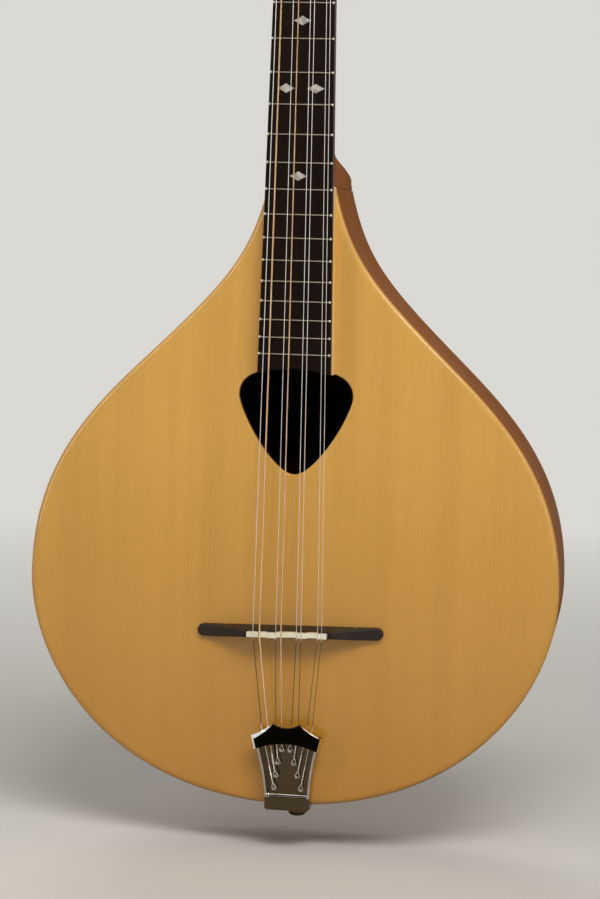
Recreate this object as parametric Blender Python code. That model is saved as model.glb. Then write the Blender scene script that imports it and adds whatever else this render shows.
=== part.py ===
"""Irish bouzouki: a long-necked lute with four double courses, a flat top and a teardrop body.

Metres, +Z up the neck, face towards -Y, treble side towards +X. The origin is the middle of the
nut's lower edge, on the playing surface of the fretboard.
"""

import math

import bmesh
import bpy
from mathutils import Matrix, Vector

# Clearances
GLUE_GAP = 0.0003
HOLE_CLEARANCE = 0.0004
RUNNING_CLEARANCE = 0.0004

# Strings and frets
SCALE_LENGTH = 0.650
SADDLE_SETBACK = 0.002
FRET_COUNT = 23
JOINT_FRET = 15
JOINT_ABOVE_FRET = 0.0025
FRET_HEIGHT = 0.001
FRET_BASE = 0.0023
FRET_CROWN = 0.0011
FRET_END_MARGIN = 0.0004
STRING_RADII = (0.00023, 0.00053, 0.0002, 0.0004, 0.0002, 0.0002, 0.00017, 0.00017)
WOUND_RADIUS = 0.0003
COURSE_COUNT = 4
NUT_COURSE_PITCH = 0.008
NUT_PAIR_GAP = 0.0024
SADDLE_COURSE_PITCH = 0.0133
SADDLE_PAIR_GAP = 0.003
CROWN_COURSE_PITCH = 0.0094
CROWN_PAIR_GAP = 0.0039
STRING_HEIGHT_NUT = 0.0018
STRING_HEIGHT_SADDLE = 0.005
SLOT_CLEARANCE = 0.00035
CREST_CHAMFER = 0.0004

# Neck, fretboard and nut
NUT_WIDTH = 0.0296
NUT_THICKNESS = 0.005
BOARD_TAPER = 0.0328
BOARD_THICKNESS = 0.006
BOARD_END_SCOOP = 0.0032
BOARD_PAST_LAST_FRET = 0.0124
RISER_THICKNESS = 0.0055
NECK_THICKNESS_NUT = 0.0215
NECK_THICKENING = 0.006
NECK_SQUARENESS = 2.2
HEEL_SQUARENESS = 34
HEEL_RISE_START = 0.022
HEEL_RISE_END = 0.006
HEEL_CAP_THICKNESS = 0.003
HEEL_CAP_LENGTH = 0.0078
TRUSS_ROD_WIDTH = 0.0058
TRUSS_ROD_DEPTH = 0.009
TRUSS_ROD_LENGTH = 0.350
TRUSS_ROD_PAST_NUT = 0.004
TRUSS_NUT_RADIUS = 0.0026
TRUSS_NUT_END = 0.0115
TRUSS_CHANNEL_END = 0.012

# Headstock
HEAD_ANGLE = math.radians(13)
HEAD_LENGTH = 0.132
HEAD_THICKNESS = 0.014
HEAD_SHOULDER_HALF = 0.0285
HEAD_TOP_HALF = 0.0315
HEAD_SHOULDER_HEIGHT = 0.0145
HEAD_ROOT_HEIGHT = 0.0002
HEAD_ROOT_HANDLE = 0.006
HEAD_SHOULDER_HANDLE = 0.004
VENEER_THICKNESS = 0.0015
TRUSS_POCKET_HALF = 0.004
TRUSS_POCKET_LENGTH = 0.018
TRUSS_POCKET_DEPTH = 0.0125
TRUSS_POCKET_START = -0.0005
COVER_HALF = 0.0098
COVER_LENGTH = 0.031
COVER_THICKNESS = 0.0017
COVER_START = 0.001
COVER_WAIST_FLARE = 0.0006
COVER_SCREW_X = 0.0074
COVER_SCREW_HEIGHT = 0.0055

# Tuning machines
POST_RADIUS = 0.003
POST_X = 0.0185
POST_FIRST_HEIGHT = 0.0325
POST_PITCH = 0.023
POST_PROUD = 0.0115
POST_TIP_CHAMFER = 0.0006
STRING_ON_POST = 0.006
GEAR_TEETH = 14
WORM_LEAD = 0.002
WORM_CREST_RADIUS = 0.00275
WORM_CORE_RADIUS = 0.00155
WORM_ADDENDUM = 0.0005
WORM_TURNS = 3
THREAD_CREST_HALF = 0.00014
THREAD_ROOT_HALF = 0.0004
THREAD_END_MARGIN = 0.0002
GEAR_THICKNESS = 0.002
GEAR_ADDENDUM = 0.0004
GEAR_DEDENDUM = 0.00075
GEAR_CAP_HEIGHT = 0.0012
TOOTH_TIP_HALF = 0.00024
TOOTH_ROOT_HALF = 0.00052
PLATE_THICKNESS = 0.0012
PLATE_HALF_WIDTH = 0.0082
PLATE_END_MARGIN = 0.003
EAR_THICKNESS = 0.0016
EAR_HALF_WIDTH = 0.003
EAR_PAST_SHAFT = 0.0028
SHAFT_RADIUS = 0.0015
KEY_LENGTH = 0.0325
BUTTON_LENGTH = 0.0165
BUTTON_HALF_WIDTH = 0.0072
BUTTON_HALF_THICKNESS = 0.0036
KEY_SIDES = 8

# Screws
SCREW_HEAD_RADIUS = 0.0019
SCREW_HEAD_HEIGHT = 0.0007
SCREW_SHANK_RADIUS = 0.0009
SCREW_LENGTH = 0.008

# Body
BODY_LENGTH = 0.3881
BODY_WIDTH = 0.3346
BODY_DEPTH = 0.085
WIDEST_BELOW_JOINT = 0.2478
FLANK_HALF_WIDTH = 0.1003
FLANK_BELOW_JOINT = 0.1125
FLANK_LEAN = math.radians(46)
SHOULDER_LEAN = math.radians(13)
SHOULDER_MARGIN = 0.0002
TOP_THICKNESS = 0.003
BACK_THICKNESS = 0.003
SIDE_THICKNESS = 0.0024
EDGE_ROUNDING = 0.0025
LINING_WIDTH = 0.005
LINING_HEIGHT = 0.007
NECK_BLOCK_LENGTH = 0.045
TAIL_BLOCK_HALF = 0.032
TAIL_BLOCK_THICKNESS = 0.018
BRACE_WIDTH = 0.008
BRACE_END_HEIGHT = 0.003
X_BRACE_HEIGHT = 0.012
X_BRACE_BELOW_HOLE = 0.032
X_BRACE_LEAN = math.radians(45)
SHOULDER_BRACE_HEIGHT = 0.009
SHOULDER_BRACE_ABOVE_HOLE = 0.017
BACK_BRACE_HEIGHT = 0.011
BACK_BRACES_BELOW_JOINT = {"upper": 0.0975, "middle": 0.2025, "lower": 0.3075}

# Soundhole
HOLE_HALF_WIDTH = 0.0358
HOLE_TOP_BELOW_JOINT = 0.1128
HOLE_WIDEST_BELOW_TOP = 0.017
HOLE_TIP_BELOW_TOP = 0.0662

# Bridge and saddle
STRING_DRIFT_BRIDGE = 0.0014
BRIDGE_HALF_LENGTH = 0.0586
BRIDGE_WIDTH = 0.008
BRIDGE_TOP_WIDTH = 0.0066
BRIDGE_TALL_HALF = 0.0402
BRIDGE_WING_HEIGHT = 0.0055
BRIDGE_TIP_HEIGHT = 0.0035
BRIDGE_HEIGHT = 0.0130
BRIDGE_STEP = 0.0035
BRIDGE_TIP_LENGTH = 0.004
BRIDGE_SLANT = math.radians(1.3)
SADDLE_HALF_LENGTH = 0.0256
SADDLE_THICKNESS = 0.0038
SADDLE_SLOT_DEPTH = 0.004

# Tailpiece and end pin
STRING_DRIFT_TAIL = 0.002
CROWN_PEAK_X = 0.0084
CROWN_PEAK_ABOVE_TAIL = 0.0543
CROWN_CORNER_X = 0.0222
CROWN_CORNER_DROP = 0.0082
CROWN_SCOOP = 0.0027
CROWN_FLANK_SCOOP = 0.0009
CROWN_FOOT_X = 0.020
CROWN_FOOT_DROP = 0.0172
CROWN_FOOT_ARCH = 0.0044
CROWN_THICKNESS = 0.0018
CROWN_UNDERSIDE_HEIGHT = 0.0132
TRAY_CLEARANCE = 0.0012
TRAY_INSIDE_CROWN = 0.0008
TRAY_THICKNESS = 0.0015
TRAY_HEAD_DROP = 0.0095
TRAY_END_HALF = 0.0147
TRAY_WALL_THICKNESS = 0.0018
TRAY_BAND_WIDTH = 0.0065
TRAY_BAND_HEIGHT = 0.0072
TRAY_BAND_PROUD = 0.0003
TRAY_JOIN = 0.001
RAIL_INSET = 0.0001
HANGER_THICKNESS = 0.0015
HANGER_END_HALF = 0.009
HANGER_PAST_PIN = 0.012
HANGER_INSET = 0.0002
HOOK_FIRST_X = 0.0026
HOOK_STEP_X = 0.0021
HOOK_FIRST_DROP = 0.018
HOOK_STEP_DROP = 0.0082
HOOK_RADIUS = 0.0011
HOOK_HEIGHT = 0.0072
STRING_ABOVE_TRAY = 0.0035
PIN_SHANK_RADIUS = 0.003
PIN_SHANK_LENGTH = 0.018
PIN_SHANK_TAPER = 0.002
PIN_FLANGE_RADIUS = 0.0062
PIN_FLANGE_THICKNESS = 0.0012
PIN_FLANGE_SLOPE = 0.003
PIN_WAIST_RADIUS = 0.0036
PIN_KNOB_RADIUS = 0.006
PIN_LENGTH = 0.0138
TAIL_SCREW_ABOVE_PIN = 0.018

CIRCLE_SIDES = 12

# Places that follow from the sizes above


def fret_drop(number):
    """How far a fret lies below the nut."""
    return SCALE_LENGTH * (1 - 2 ** (-number / 12))


def board_half_width(drop):
    """Half the fretboard's width at a distance below the nut."""
    return (NUT_WIDTH + BOARD_TAPER * drop) / 2


JOINT_Z = JOINT_ABOVE_FRET - fret_drop(JOINT_FRET)
TAIL_Z = JOINT_Z - BODY_LENGTH
BRIDGE_Z = -SCALE_LENGTH - SADDLE_SETBACK
BOARD_END_Z = -fret_drop(FRET_COUNT) - BOARD_PAST_LAST_FRET
NECK_TOP_Y = BOARD_THICKNESS + GLUE_GAP
TOP_Y = BOARD_THICKNESS + RISER_THICKNESS
BACK_Y = TOP_Y + BODY_DEPTH
INSIDE_TOP_Y = TOP_Y + TOP_THICKNESS + GLUE_GAP
INSIDE_BACK_Y = BACK_Y - BACK_THICKNESS - GLUE_GAP
HOLE_TOP_Z = JOINT_Z - HOLE_TOP_BELOW_JOINT
HOLE_WIDEST_Z = HOLE_TOP_Z - HOLE_WIDEST_BELOW_TOP
HOLE_TIP_Z = HOLE_TOP_Z - HOLE_TIP_BELOW_TOP
PIN_Y = TOP_Y + BODY_DEPTH / 2
HANGER_OUT_Z = TAIL_Z - GLUE_GAP - HANGER_THICKNESS
HEAD_START_Z = NUT_THICKNESS + GLUE_GAP
HEAD_WOOD_Y = VENEER_THICKNESS + GLUE_GAP
HEAD_BACK_Y = HEAD_WOOD_Y + HEAD_THICKNESS
HEAD_FACE_Y = NECK_TOP_Y - HEAD_WOOD_Y * math.cos(HEAD_ANGLE)
PLATE_FACE_Y = HEAD_BACK_Y + GLUE_GAP
PLATE_BACK_Y = PLATE_FACE_Y + PLATE_THICKNESS
GEAR_Y = PLATE_BACK_Y + WORM_CREST_RADIUS + RUNNING_CLEARANCE
GEAR_PITCH_RADIUS = GEAR_TEETH * WORM_LEAD / (2 * math.pi)
WORM_DROP = GEAR_PITCH_RADIUS + WORM_CREST_RADIUS - WORM_ADDENDUM
EAR_X = WORM_LEAD * (WORM_TURNS + 1) / 2 + RUNNING_CLEARANCE
PLATE_SCREW_LOW = WORM_DROP + EAR_HALF_WIDTH + SCREW_HEAD_RADIUS + RUNNING_CLEARANCE
PLATE_SCREW_HIGH = GEAR_PITCH_RADIUS + GEAR_ADDENDUM + SCREW_HEAD_RADIUS + PLATE_END_MARGIN / 2
HEAD_FRAME = (
    Matrix.Translation((0, HEAD_FACE_Y, HEAD_START_Z))
    @ Matrix.Rotation(-HEAD_ANGLE, 4, "X")
)
SIDES = {"bass": -1, "treble": 1}


# Building helpers


def clear_scene():
    """Leave no object in the scene."""
    for existing in list(bpy.data.objects):
        bpy.data.objects.remove(existing)


def finish(name, colour, roughness, metallic=0.0):
    """A plain surface with a colour, a roughness and a metallic value."""
    material = bpy.data.materials.get(name)
    if material is None:
        material = bpy.data.materials.new(name)
        material.use_nodes = True
        shader = material.node_tree.nodes["Principled BSDF"]
        shader.inputs["Base Color"].default_value = (*colour, 1)
        shader.inputs["Roughness"].default_value = roughness
        shader.inputs["Metallic"].default_value = metallic
        material.diffuse_color = (*colour, 1)
    return material


def spruce():
    return finish("spruce", (0.52, 0.27, 0.06), 0.3)


def mahogany():
    return finish("mahogany", (0.23, 0.085, 0.03), 0.35)


def bare_spruce():
    return finish("bare_spruce", (0.66, 0.48, 0.27), 0.7)


def ebony():
    return finish("ebony", (0.016, 0.011, 0.009), 0.4)


def bone():
    return finish("bone", (0.78, 0.71, 0.55), 0.4)


def polished_nickel():
    return finish("polished_nickel", (0.62, 0.59, 0.55), 0.12, 1.0)


def plain_steel():
    return finish("plain_steel", (0.6, 0.6, 0.6), 0.25, 1.0)


def bronze_wound():
    return finish("bronze_wound", (0.62, 0.33, 0.19), 0.35, 1.0)


def black_plastic():
    return finish("black_plastic", (0.02, 0.02, 0.02), 0.3)


def object_from(name, bm, material, place=None, parent=None):
    """Turn a bmesh into an object, with its normals out and its round sides smooth."""
    bmesh.ops.remove_doubles(bm, verts=bm.verts, dist=1e-7)
    bmesh.ops.recalc_face_normals(bm, faces=bm.faces)
    mesh = bpy.data.meshes.new(name)
    bm.to_mesh(mesh)
    bm.free()
    mesh.shade_smooth()
    mesh.set_sharp_from_angle(angle=math.radians(35))
    mesh.materials.append(material)
    made = bpy.data.objects.new(name, mesh)
    bpy.context.scene.collection.objects.link(made)
    if parent is not None:
        made.parent = parent
    if place is not None:
        made.location = place
    return made


def add_loft(bm, rings, cap_start=True, cap_end=True):
    """Skin rings of equally many points, and close the ends."""
    rows = [[bm.verts.new(point) for point in ring] for ring in rings]
    count = len(rows[0])
    for lower, upper in zip(rows, rows[1:]):
        for i in range(count):
            j = (i + 1) % count
            bm.faces.new((lower[i], lower[j], upper[j], upper[i]))
    if cap_start:
        bm.faces.new(rows[0][::-1])
    if cap_end:
        bm.faces.new(rows[-1])
    return rows


def lofted(name, rings, material, **where):
    """One solid skinned over rings."""
    bm = bmesh.new()
    add_loft(bm, rings)
    return object_from(name, bm, material, **where)


def ring_in_plane(outline, axis, height):
    """A flat outline set at a height along an axis."""
    if axis == "X":
        return [(height, a, b) for a, b in outline]
    if axis == "Y":
        return [(a, height, b) for a, b in outline]
    return [(a, b, height) for a, b in outline]


def extruded(name, outline, axis, low, high, material, **where):
    """A flat outline given a thickness along an axis."""
    rings = [ring_in_plane(outline, axis, low), ring_in_plane(outline, axis, high)]
    return lofted(name, rings, material, **where)


def box_rings(low, high):
    """The two end rings of an upright box."""
    outline = [(low[0], low[1]), (high[0], low[1]), (high[0], high[1]), (low[0], high[1])]
    return [ring_in_plane(outline, "Z", low[2]), ring_in_plane(outline, "Z", high[2])]


def boxes(name, corners, material, **where):
    """Upright boxes that don't touch, in one mesh."""
    bm = bmesh.new()
    for low, high in corners:
        add_loft(bm, box_rings(low, high))
    return object_from(name, bm, material, **where)


def circle(axis, centre, radius, sides=CIRCLE_SIDES):
    """A ring of points round an axis through a centre."""
    points = []
    for i in range(sides):
        angle = 2 * math.pi * i / sides
        a = radius * math.cos(angle)
        b = radius * math.sin(angle)
        if axis == "X":
            offset = (0, a, b)
        elif axis == "Y":
            offset = (a, 0, b)
        else:
            offset = (a, b, 0)
        points.append(tuple(c + o for c, o in zip(centre, offset)))
    return points


def axis_vector(axis, distance):
    """A step along a named axis."""
    return Vector([distance if axis == letter else 0 for letter in "XYZ"])


def turned_rings(axis, profile, sides=CIRCLE_SIDES, centre=(0, 0, 0)):
    """Rings of a turned shape, from pairs of distance along the axis and radius."""
    rings = []
    for along, radius in profile:
        rings.append(circle(axis, Vector(centre) + axis_vector(axis, along), radius, sides))
    return rings


def rods(name, axis, centres, radius, low, high, sides=CIRCLE_SIDES, **where):
    """Round bars side by side, for cutting holes."""
    bm = bmesh.new()
    for centre in centres:
        add_loft(bm, turned_rings(axis, [(low, radius), (high, radius)], sides, centre))
    return object_from(name, bm, plain_steel(), **where)


def combine(target, tool, operation):
    """Add a Boolean with a hidden tool object."""
    modifier = target.modifiers.new(tool.name, "BOOLEAN")
    modifier.operation = operation
    modifier.solver = "EXACT"
    modifier.object = tool
    tool.hide_render = True
    tool.display_type = "WIRE"


def cut(target, tool):
    combine(target, tool, "DIFFERENCE")


def fuse(target, tool):
    combine(target, tool, "UNION")


# The body's outline


def bezier(start, start_handle, end_handle, end, steps):
    """Points of one cubic curve, without its last point."""
    points = []
    for i in range(steps):
        t = i / steps
        s = 1 - t
        points.append(
            start * s**3
            + start_handle * (3 * s * s * t)
            + end_handle * (3 * s * t * t)
            + end * t**3
        )
    return points


def body_half_outline():
    """The treble half of the body's outline, from the tail to the neck, as (x, z) points."""
    tail = Vector((0, TAIL_Z))
    widest = Vector((BODY_WIDTH / 2, JOINT_Z - WIDEST_BELOW_JOINT))
    flank = Vector((FLANK_HALF_WIDTH, JOINT_Z - FLANK_BELOW_JOINT))
    shoulder = Vector((board_half_width(-JOINT_Z) + SHOULDER_MARGIN, JOINT_Z))
    upward = Vector((0, 1))
    outward = Vector((1, 0))
    flank_way = Vector((-math.sin(FLANK_LEAN), math.cos(FLANK_LEAN)))
    shoulder_way = Vector((-math.sin(SHOULDER_LEAN), math.cos(SHOULDER_LEAN)))
    bout_height = widest.y - tail.y
    waist_height = flank.y - widest.y
    shoulder_height = shoulder.y - flank.y
    points = bezier(
        tail,
        tail + outward * (0.67 * widest.x),
        widest - upward * (0.44 * bout_height),
        widest,
        11,
    )
    points += bezier(
        widest,
        widest + upward * (0.47 * waist_height),
        flank - flank_way * (0.38 * waist_height),
        flank,
        8,
    )
    points += bezier(
        flank,
        flank + flank_way * (0.65 * shoulder_height),
        shoulder - shoulder_way * (0.42 * shoulder_height),
        shoulder,
        8,
    )
    points.append(shoulder)
    return points


def inset(curve, distance):
    """A half outline moved inwards, with as many points, and ending at the same height."""
    moved = []
    for i, point in enumerate(curve):
        before = curve[max(i - 1, 0)]
        after = curve[min(i + 1, len(curve) - 1)]
        way = Vector((1, 0)) if i == 0 else (after - before).normalized()
        moved.append(point + Vector((-way.y, way.x)) * distance)
    last_step = moved[-1] - moved[-2]
    reach = (curve[-1].y - moved[-2].y) / last_step.y
    moved[-1] = moved[-2] + last_step * reach
    return moved


def trimmed(curve, from_x, to_z):
    """The stretch of a half outline past from_x at the tail and below to_z at the neck."""
    kept = []
    for start, end in zip(curve, curve[1:]):
        if not kept and end.x > from_x:
            kept.append(start.lerp(end, (from_x - start.x) / (end.x - start.x)))
        if kept and end.y >= to_z:
            kept.append(start.lerp(end, (to_z - start.y) / (end.y - start.y)))
            break
        if kept:
            kept.append(end)
    return kept


def half_width_at(curve, z):
    """Half the width inside a half outline at a height."""
    for start, end in zip(curve, curve[1:]):
        if start.y <= z <= end.y:
            return start.lerp(end, (z - start.y) / (end.y - start.y)).x
    return 0.0


def whole_outline(half):
    """Both halves of an outline that starts on the middle line."""
    mirrored = [Vector((-p.x, p.y)) for p in reversed(half[1:])]
    return mirrored + list(half)


def strip_between(outer, inner, from_x, to_z):
    """The outline of a bent strip between two half outlines."""
    return trimmed(outer, from_x, to_z) + trimmed(inner, from_x, to_z)[::-1]


HALF_OUTLINE = body_half_outline()
SIDE_INSIDE = inset(HALF_OUTLINE, SIDE_THICKNESS)
BLOCK_EDGE = inset(HALF_OUTLINE, SIDE_THICKNESS + GLUE_GAP)
LINING_INSIDE = inset(HALF_OUTLINE, SIDE_THICKNESS + GLUE_GAP + LINING_WIDTH)
BRACE_LIMIT = inset(HALF_OUTLINE, SIDE_THICKNESS + 2 * GLUE_GAP + LINING_WIDTH)
BODY_END_Z = JOINT_Z - GLUE_GAP


def mirrored_x(outline, side):
    """An outline on the treble side, or its mirror image on the bass side."""
    return [(point[0] * side, point[1]) for point in outline]


# Body


def soundhole_outline(margin=0.0):
    """The plectrum-shaped hole: a shallow arc on top, round shoulders and a blunt tip."""
    width = HOLE_HALF_WIDTH + margin
    top = Vector((0, HOLE_TOP_Z + margin))
    widest = Vector((width, HOLE_WIDEST_Z))
    tip = Vector((0, HOLE_TIP_Z - margin))
    upper = widest.y - top.y
    lower = widest.y - tip.y
    top_handle = top + Vector((0.67 * width, 0))
    shoulder_handle = widest - Vector((0, 0.7 * upper))
    flank_handle = widest - Vector((0, 0.19 * lower))
    tip_handle = tip + Vector((0.3 * width, 0.02 * lower))
    half = bezier(top, top_handle, shoulder_handle, widest, 8)
    half += bezier(widest, flank_handle, tip_handle, tip, 9)
    half.append(tip)
    return half + [Vector((-p.x, p.y)) for p in half[-2:0:-1]]


def rounded_plate(name, face_y, inner_y, material):
    """A body plate, with its outer edge rounded over."""
    way = 1 if inner_y > face_y else -1
    rings = []
    for turn in (0, 30, 60, 90):
        angle = math.radians(turn)
        step_in = EDGE_ROUNDING * (1 - math.sin(angle))
        y = face_y + way * EDGE_ROUNDING * (1 - math.cos(angle))
        half = inset(HALF_OUTLINE, step_in) if step_in > 1e-9 else HALF_OUTLINE
        half = trimmed(half, 0.0, BODY_END_Z)
        rings.append(ring_in_plane(whole_outline(half), "Y", y))
    rings.append(ring_in_plane(whole_outline(trimmed(HALF_OUTLINE, 0.0, BODY_END_Z)), "Y", inner_y))
    return lofted(name, rings, material)


def make_plates():
    """The top with its hole, and the back."""
    top = rounded_plate("top_plate", TOP_Y, TOP_Y + TOP_THICKNESS, spruce())
    hole = extruded(
        "soundhole_cut",
        soundhole_outline(),
        "Y",
        TOP_Y - TOP_THICKNESS,
        TOP_Y + 2 * TOP_THICKNESS,
        spruce(),
    )
    cut(top, hole)
    rounded_plate("back_plate", BACK_Y, BACK_Y - BACK_THICKNESS, mahogany())


def tail_cutters():
    """Holes at the tail for the end pin and the tailpiece's screw."""
    low = TAIL_Z - 2 * HANGER_THICKNESS - GLUE_GAP
    pin = rods(
        "end_pin_hole",
        "Z",
        [(STRING_DRIFT_TAIL, PIN_Y, 0)],
        PIN_SHANK_RADIUS + HOLE_CLEARANCE,
        low,
        TAIL_Z + 2 * TAIL_BLOCK_THICKNESS,
    )
    screw = rods(
        "tailpiece_screw_hole",
        "Z",
        [(STRING_DRIFT_TAIL, PIN_Y - TAIL_SCREW_ABOVE_PIN, 0)],
        SCREW_SHANK_RADIUS + HOLE_CLEARANCE,
        low,
        TAIL_Z + 2 * TAIL_BLOCK_THICKNESS,
    )
    return [pin, screw]


def make_sides(cutters):
    """Two bent sides that meet on the tail's middle line and at the neck."""
    for label, side in SIDES.items():
        strip = strip_between(HALF_OUTLINE, SIDE_INSIDE, GLUE_GAP / 2, BODY_END_Z)
        rim = extruded(
            f"side_{label}",
            mirrored_x(strip, side),
            "Y",
            INSIDE_TOP_Y,
            INSIDE_BACK_Y,
            mahogany(),
        )
        for tool in cutters:
            cut(rim, tool)


def make_blocks(cutters):
    """The neck block and the tail block, shaped to the inside of the sides."""
    low = BODY_END_Z - NECK_BLOCK_LENGTH
    half = [p for p in BLOCK_EDGE if low < p.y < BODY_END_Z]
    half = [Vector((half_width_at(BLOCK_EDGE, low), low))] + half
    half.append(Vector((half_width_at(BLOCK_EDGE, BODY_END_Z), BODY_END_Z)))
    outline = half + [Vector((-p.x, p.y)) for p in reversed(half)]
    extruded("neck_block", outline, "Y", INSIDE_TOP_Y, INSIDE_BACK_Y, mahogany())
    edge = []
    for start, end in zip(BLOCK_EDGE, BLOCK_EDGE[1:]):
        if start.x < TAIL_BLOCK_HALF:
            edge.append(start)
            if end.x > TAIL_BLOCK_HALF:
                share = (TAIL_BLOCK_HALF - start.x) / (end.x - start.x)
                edge.append(start.lerp(end, share))
                break
    top_z = TAIL_Z + SIDE_THICKNESS + TAIL_BLOCK_THICKNESS
    outline = whole_outline(edge) + [Vector((TAIL_BLOCK_HALF, top_z)), Vector((-TAIL_BLOCK_HALF, top_z))]
    block = extruded("tail_block", outline, "Y", INSIDE_TOP_Y, INSIDE_BACK_Y, mahogany())
    for tool in cutters:
        cut(block, tool)


def make_linings():
    """Strips that widen the glue joints between the sides and the two plates."""
    from_x = TAIL_BLOCK_HALF + GLUE_GAP
    to_z = BODY_END_Z - NECK_BLOCK_LENGTH - GLUE_GAP
    strip = strip_between(BLOCK_EDGE, LINING_INSIDE, from_x, to_z)
    spans = {
        "top": (INSIDE_TOP_Y, INSIDE_TOP_Y + LINING_HEIGHT),
        "back": (INSIDE_BACK_Y - LINING_HEIGHT, INSIDE_BACK_Y),
    }
    for plate, (low, high) in spans.items():
        for label, side in SIDES.items():
            name = f"{plate}_lining_{label}"
            extruded(name, mirrored_x(strip, side), "Y", low, high, bare_spruce())


def reach(start, way):
    """How far a brace can run from a point before it meets the linings."""
    distance = 0.0
    step = 0.0005
    while True:
        point = start + way * (distance + step)
        if abs(point.x) > half_width_at(BRACE_LIMIT, point.y):
            return distance
        distance += step


def brace_rings(centre, way, back, ahead, plate_y, height, lift):
    """A bar with tapered ends that lies on a plate, as two side rings."""
    across = Vector((way.y, -way.x)) * (BRACE_WIDTH / 2)
    taper = 4 * height
    profile = [
        (-back, 0),
        (ahead, 0),
        (ahead, BRACE_END_HEIGHT),
        (ahead - taper, height),
        (-back + taper, height),
        (-back, BRACE_END_HEIGHT),
    ]
    rings = []
    for sign in (-1, 1):
        ring = []
        for along, rise in profile:
            place = centre + way * along + across * sign
            ring.append((place.x, plate_y + lift * rise, place.y))
        rings.append(ring)
    return rings


def cross_brace(name, z, plate_y, height, lift):
    """A straight bar from side to side."""
    slack = BRACE_WIDTH / 2
    half = min(half_width_at(BRACE_LIMIT, z - slack), half_width_at(BRACE_LIMIT, z + slack))
    rings = brace_rings(Vector((0, z)), Vector((1, 0)), half, half, plate_y, height, lift)
    return lofted(name, rings, bare_spruce())


def make_braces():
    """The X and the shoulder bar under the top, and three bars on the back."""
    crossing = Vector((0, HOLE_TIP_Z - X_BRACE_BELOW_HOLE))
    arms = []
    for label, side in SIDES.items():
        way = Vector((side * math.sin(X_BRACE_LEAN), math.cos(X_BRACE_LEAN)))
        ahead = reach(crossing, way) - BRACE_WIDTH / 2
        back = reach(crossing, -way) - BRACE_WIDTH / 2
        name = "top_x_brace" if label == "bass" else "x_brace_second_arm"
        rings = brace_rings(crossing, way, back, ahead, INSIDE_TOP_Y, X_BRACE_HEIGHT, 1)
        arms.append(lofted(name, rings, bare_spruce()))
    fuse(arms[0], arms[1])
    shoulder_z = HOLE_TOP_Z + SHOULDER_BRACE_ABOVE_HOLE
    cross_brace("top_shoulder_brace", shoulder_z, INSIDE_TOP_Y, SHOULDER_BRACE_HEIGHT, 1)
    for label, drop in BACK_BRACES_BELOW_JOINT.items():
        cross_brace(f"back_brace_{label}", JOINT_Z - drop, INSIDE_BACK_Y, BACK_BRACE_HEIGHT, -1)


# Neck


def heel_back_y(z):
    """How far back the neck reaches at a height, from the slim shaft to the deep heel."""
    drop = -z
    slim = NECK_THICKNESS_NUT + NECK_THICKENING * max(drop, 0)
    deep = BACK_Y - HEEL_CAP_THICKNESS - GLUE_GAP
    start = JOINT_Z + HEEL_RISE_START
    share = (start - z) / (HEEL_RISE_START - HEEL_RISE_END)
    share = min(max(share, 0), 1)
    ease = share * share * (3 - 2 * share)
    return slim + (deep - slim) * ease


def neck_section(z):
    """The neck's cross-section at a height: flat in front, round behind, square at the heel."""
    half = board_half_width(max(-z, 0))
    back = heel_back_y(z)
    deep = (back - heel_back_y(0)) / (BACK_Y - heel_back_y(0))
    squareness = NECK_SQUARENESS + HEEL_SQUARENESS * max(deep, 0) ** 2
    points = []
    steps = 14
    for i in range(steps + 1):
        angle = math.pi * i / steps
        x = half * math.copysign(abs(math.cos(angle)) ** (2 / squareness), math.cos(angle))
        y = NECK_TOP_Y + (back - NECK_TOP_Y) * abs(math.sin(angle)) ** (2 / squareness)
        points.append((x, y, z))
    points[0] = (half, NECK_TOP_Y, z)
    points[-1] = (-half, NECK_TOP_Y, z)
    return points


def head_half_outline():
    """The treble half of the headstock, from the nut to the tip, as (x, height) points."""
    root = Vector((NUT_WIDTH / 2 - GLUE_GAP, HEAD_ROOT_HEIGHT))
    shoulder = Vector((HEAD_SHOULDER_HALF, HEAD_SHOULDER_HEIGHT))
    corner = Vector((HEAD_TOP_HALF, HEAD_LENGTH * 0.9))
    tip = Vector((0, HEAD_LENGTH))
    width = shoulder.x - root.x
    root_handle = root + Vector((0, HEAD_ROOT_HANDLE))
    shoulder_handle = shoulder - Vector((width / 2, HEAD_SHOULDER_HANDLE))
    points = bezier(root, root_handle, shoulder_handle, shoulder, 5)
    points += [shoulder, corner]
    corner_handle = corner + Vector((0, 0.8 * (tip.y - corner.y)))
    tip_handle = tip + Vector((0.6 * corner.x, 0))
    points += bezier(corner, corner_handle, tip_handle, tip, 6)[1:]
    points.append(tip)
    return points


def head_outline():
    """The whole headstock outline."""
    half = head_half_outline()
    return half + [Vector((-p.x, p.y)) for p in half[-2::-1]]


def post_places():
    """Each tuning post's place across and along the headstock, bass string first."""
    places = []
    for i in range(COURSE_COUNT):
        places.append((-POST_X, POST_FIRST_HEIGHT + POST_PITCH * i))
    for i in reversed(range(COURSE_COUNT)):
        places.append((POST_X, POST_FIRST_HEIGHT + POST_PITCH * i))
    return places


def plate_screw_places():
    """Where the tuner plates are screwed on."""
    last = POST_FIRST_HEIGHT + POST_PITCH * (COURSE_COUNT - 1)
    places = []
    for side in SIDES.values():
        places.append((side * POST_X, POST_FIRST_HEIGHT - PLATE_SCREW_LOW))
        places.append((side * POST_X, last + PLATE_SCREW_HIGH))
    return places


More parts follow.
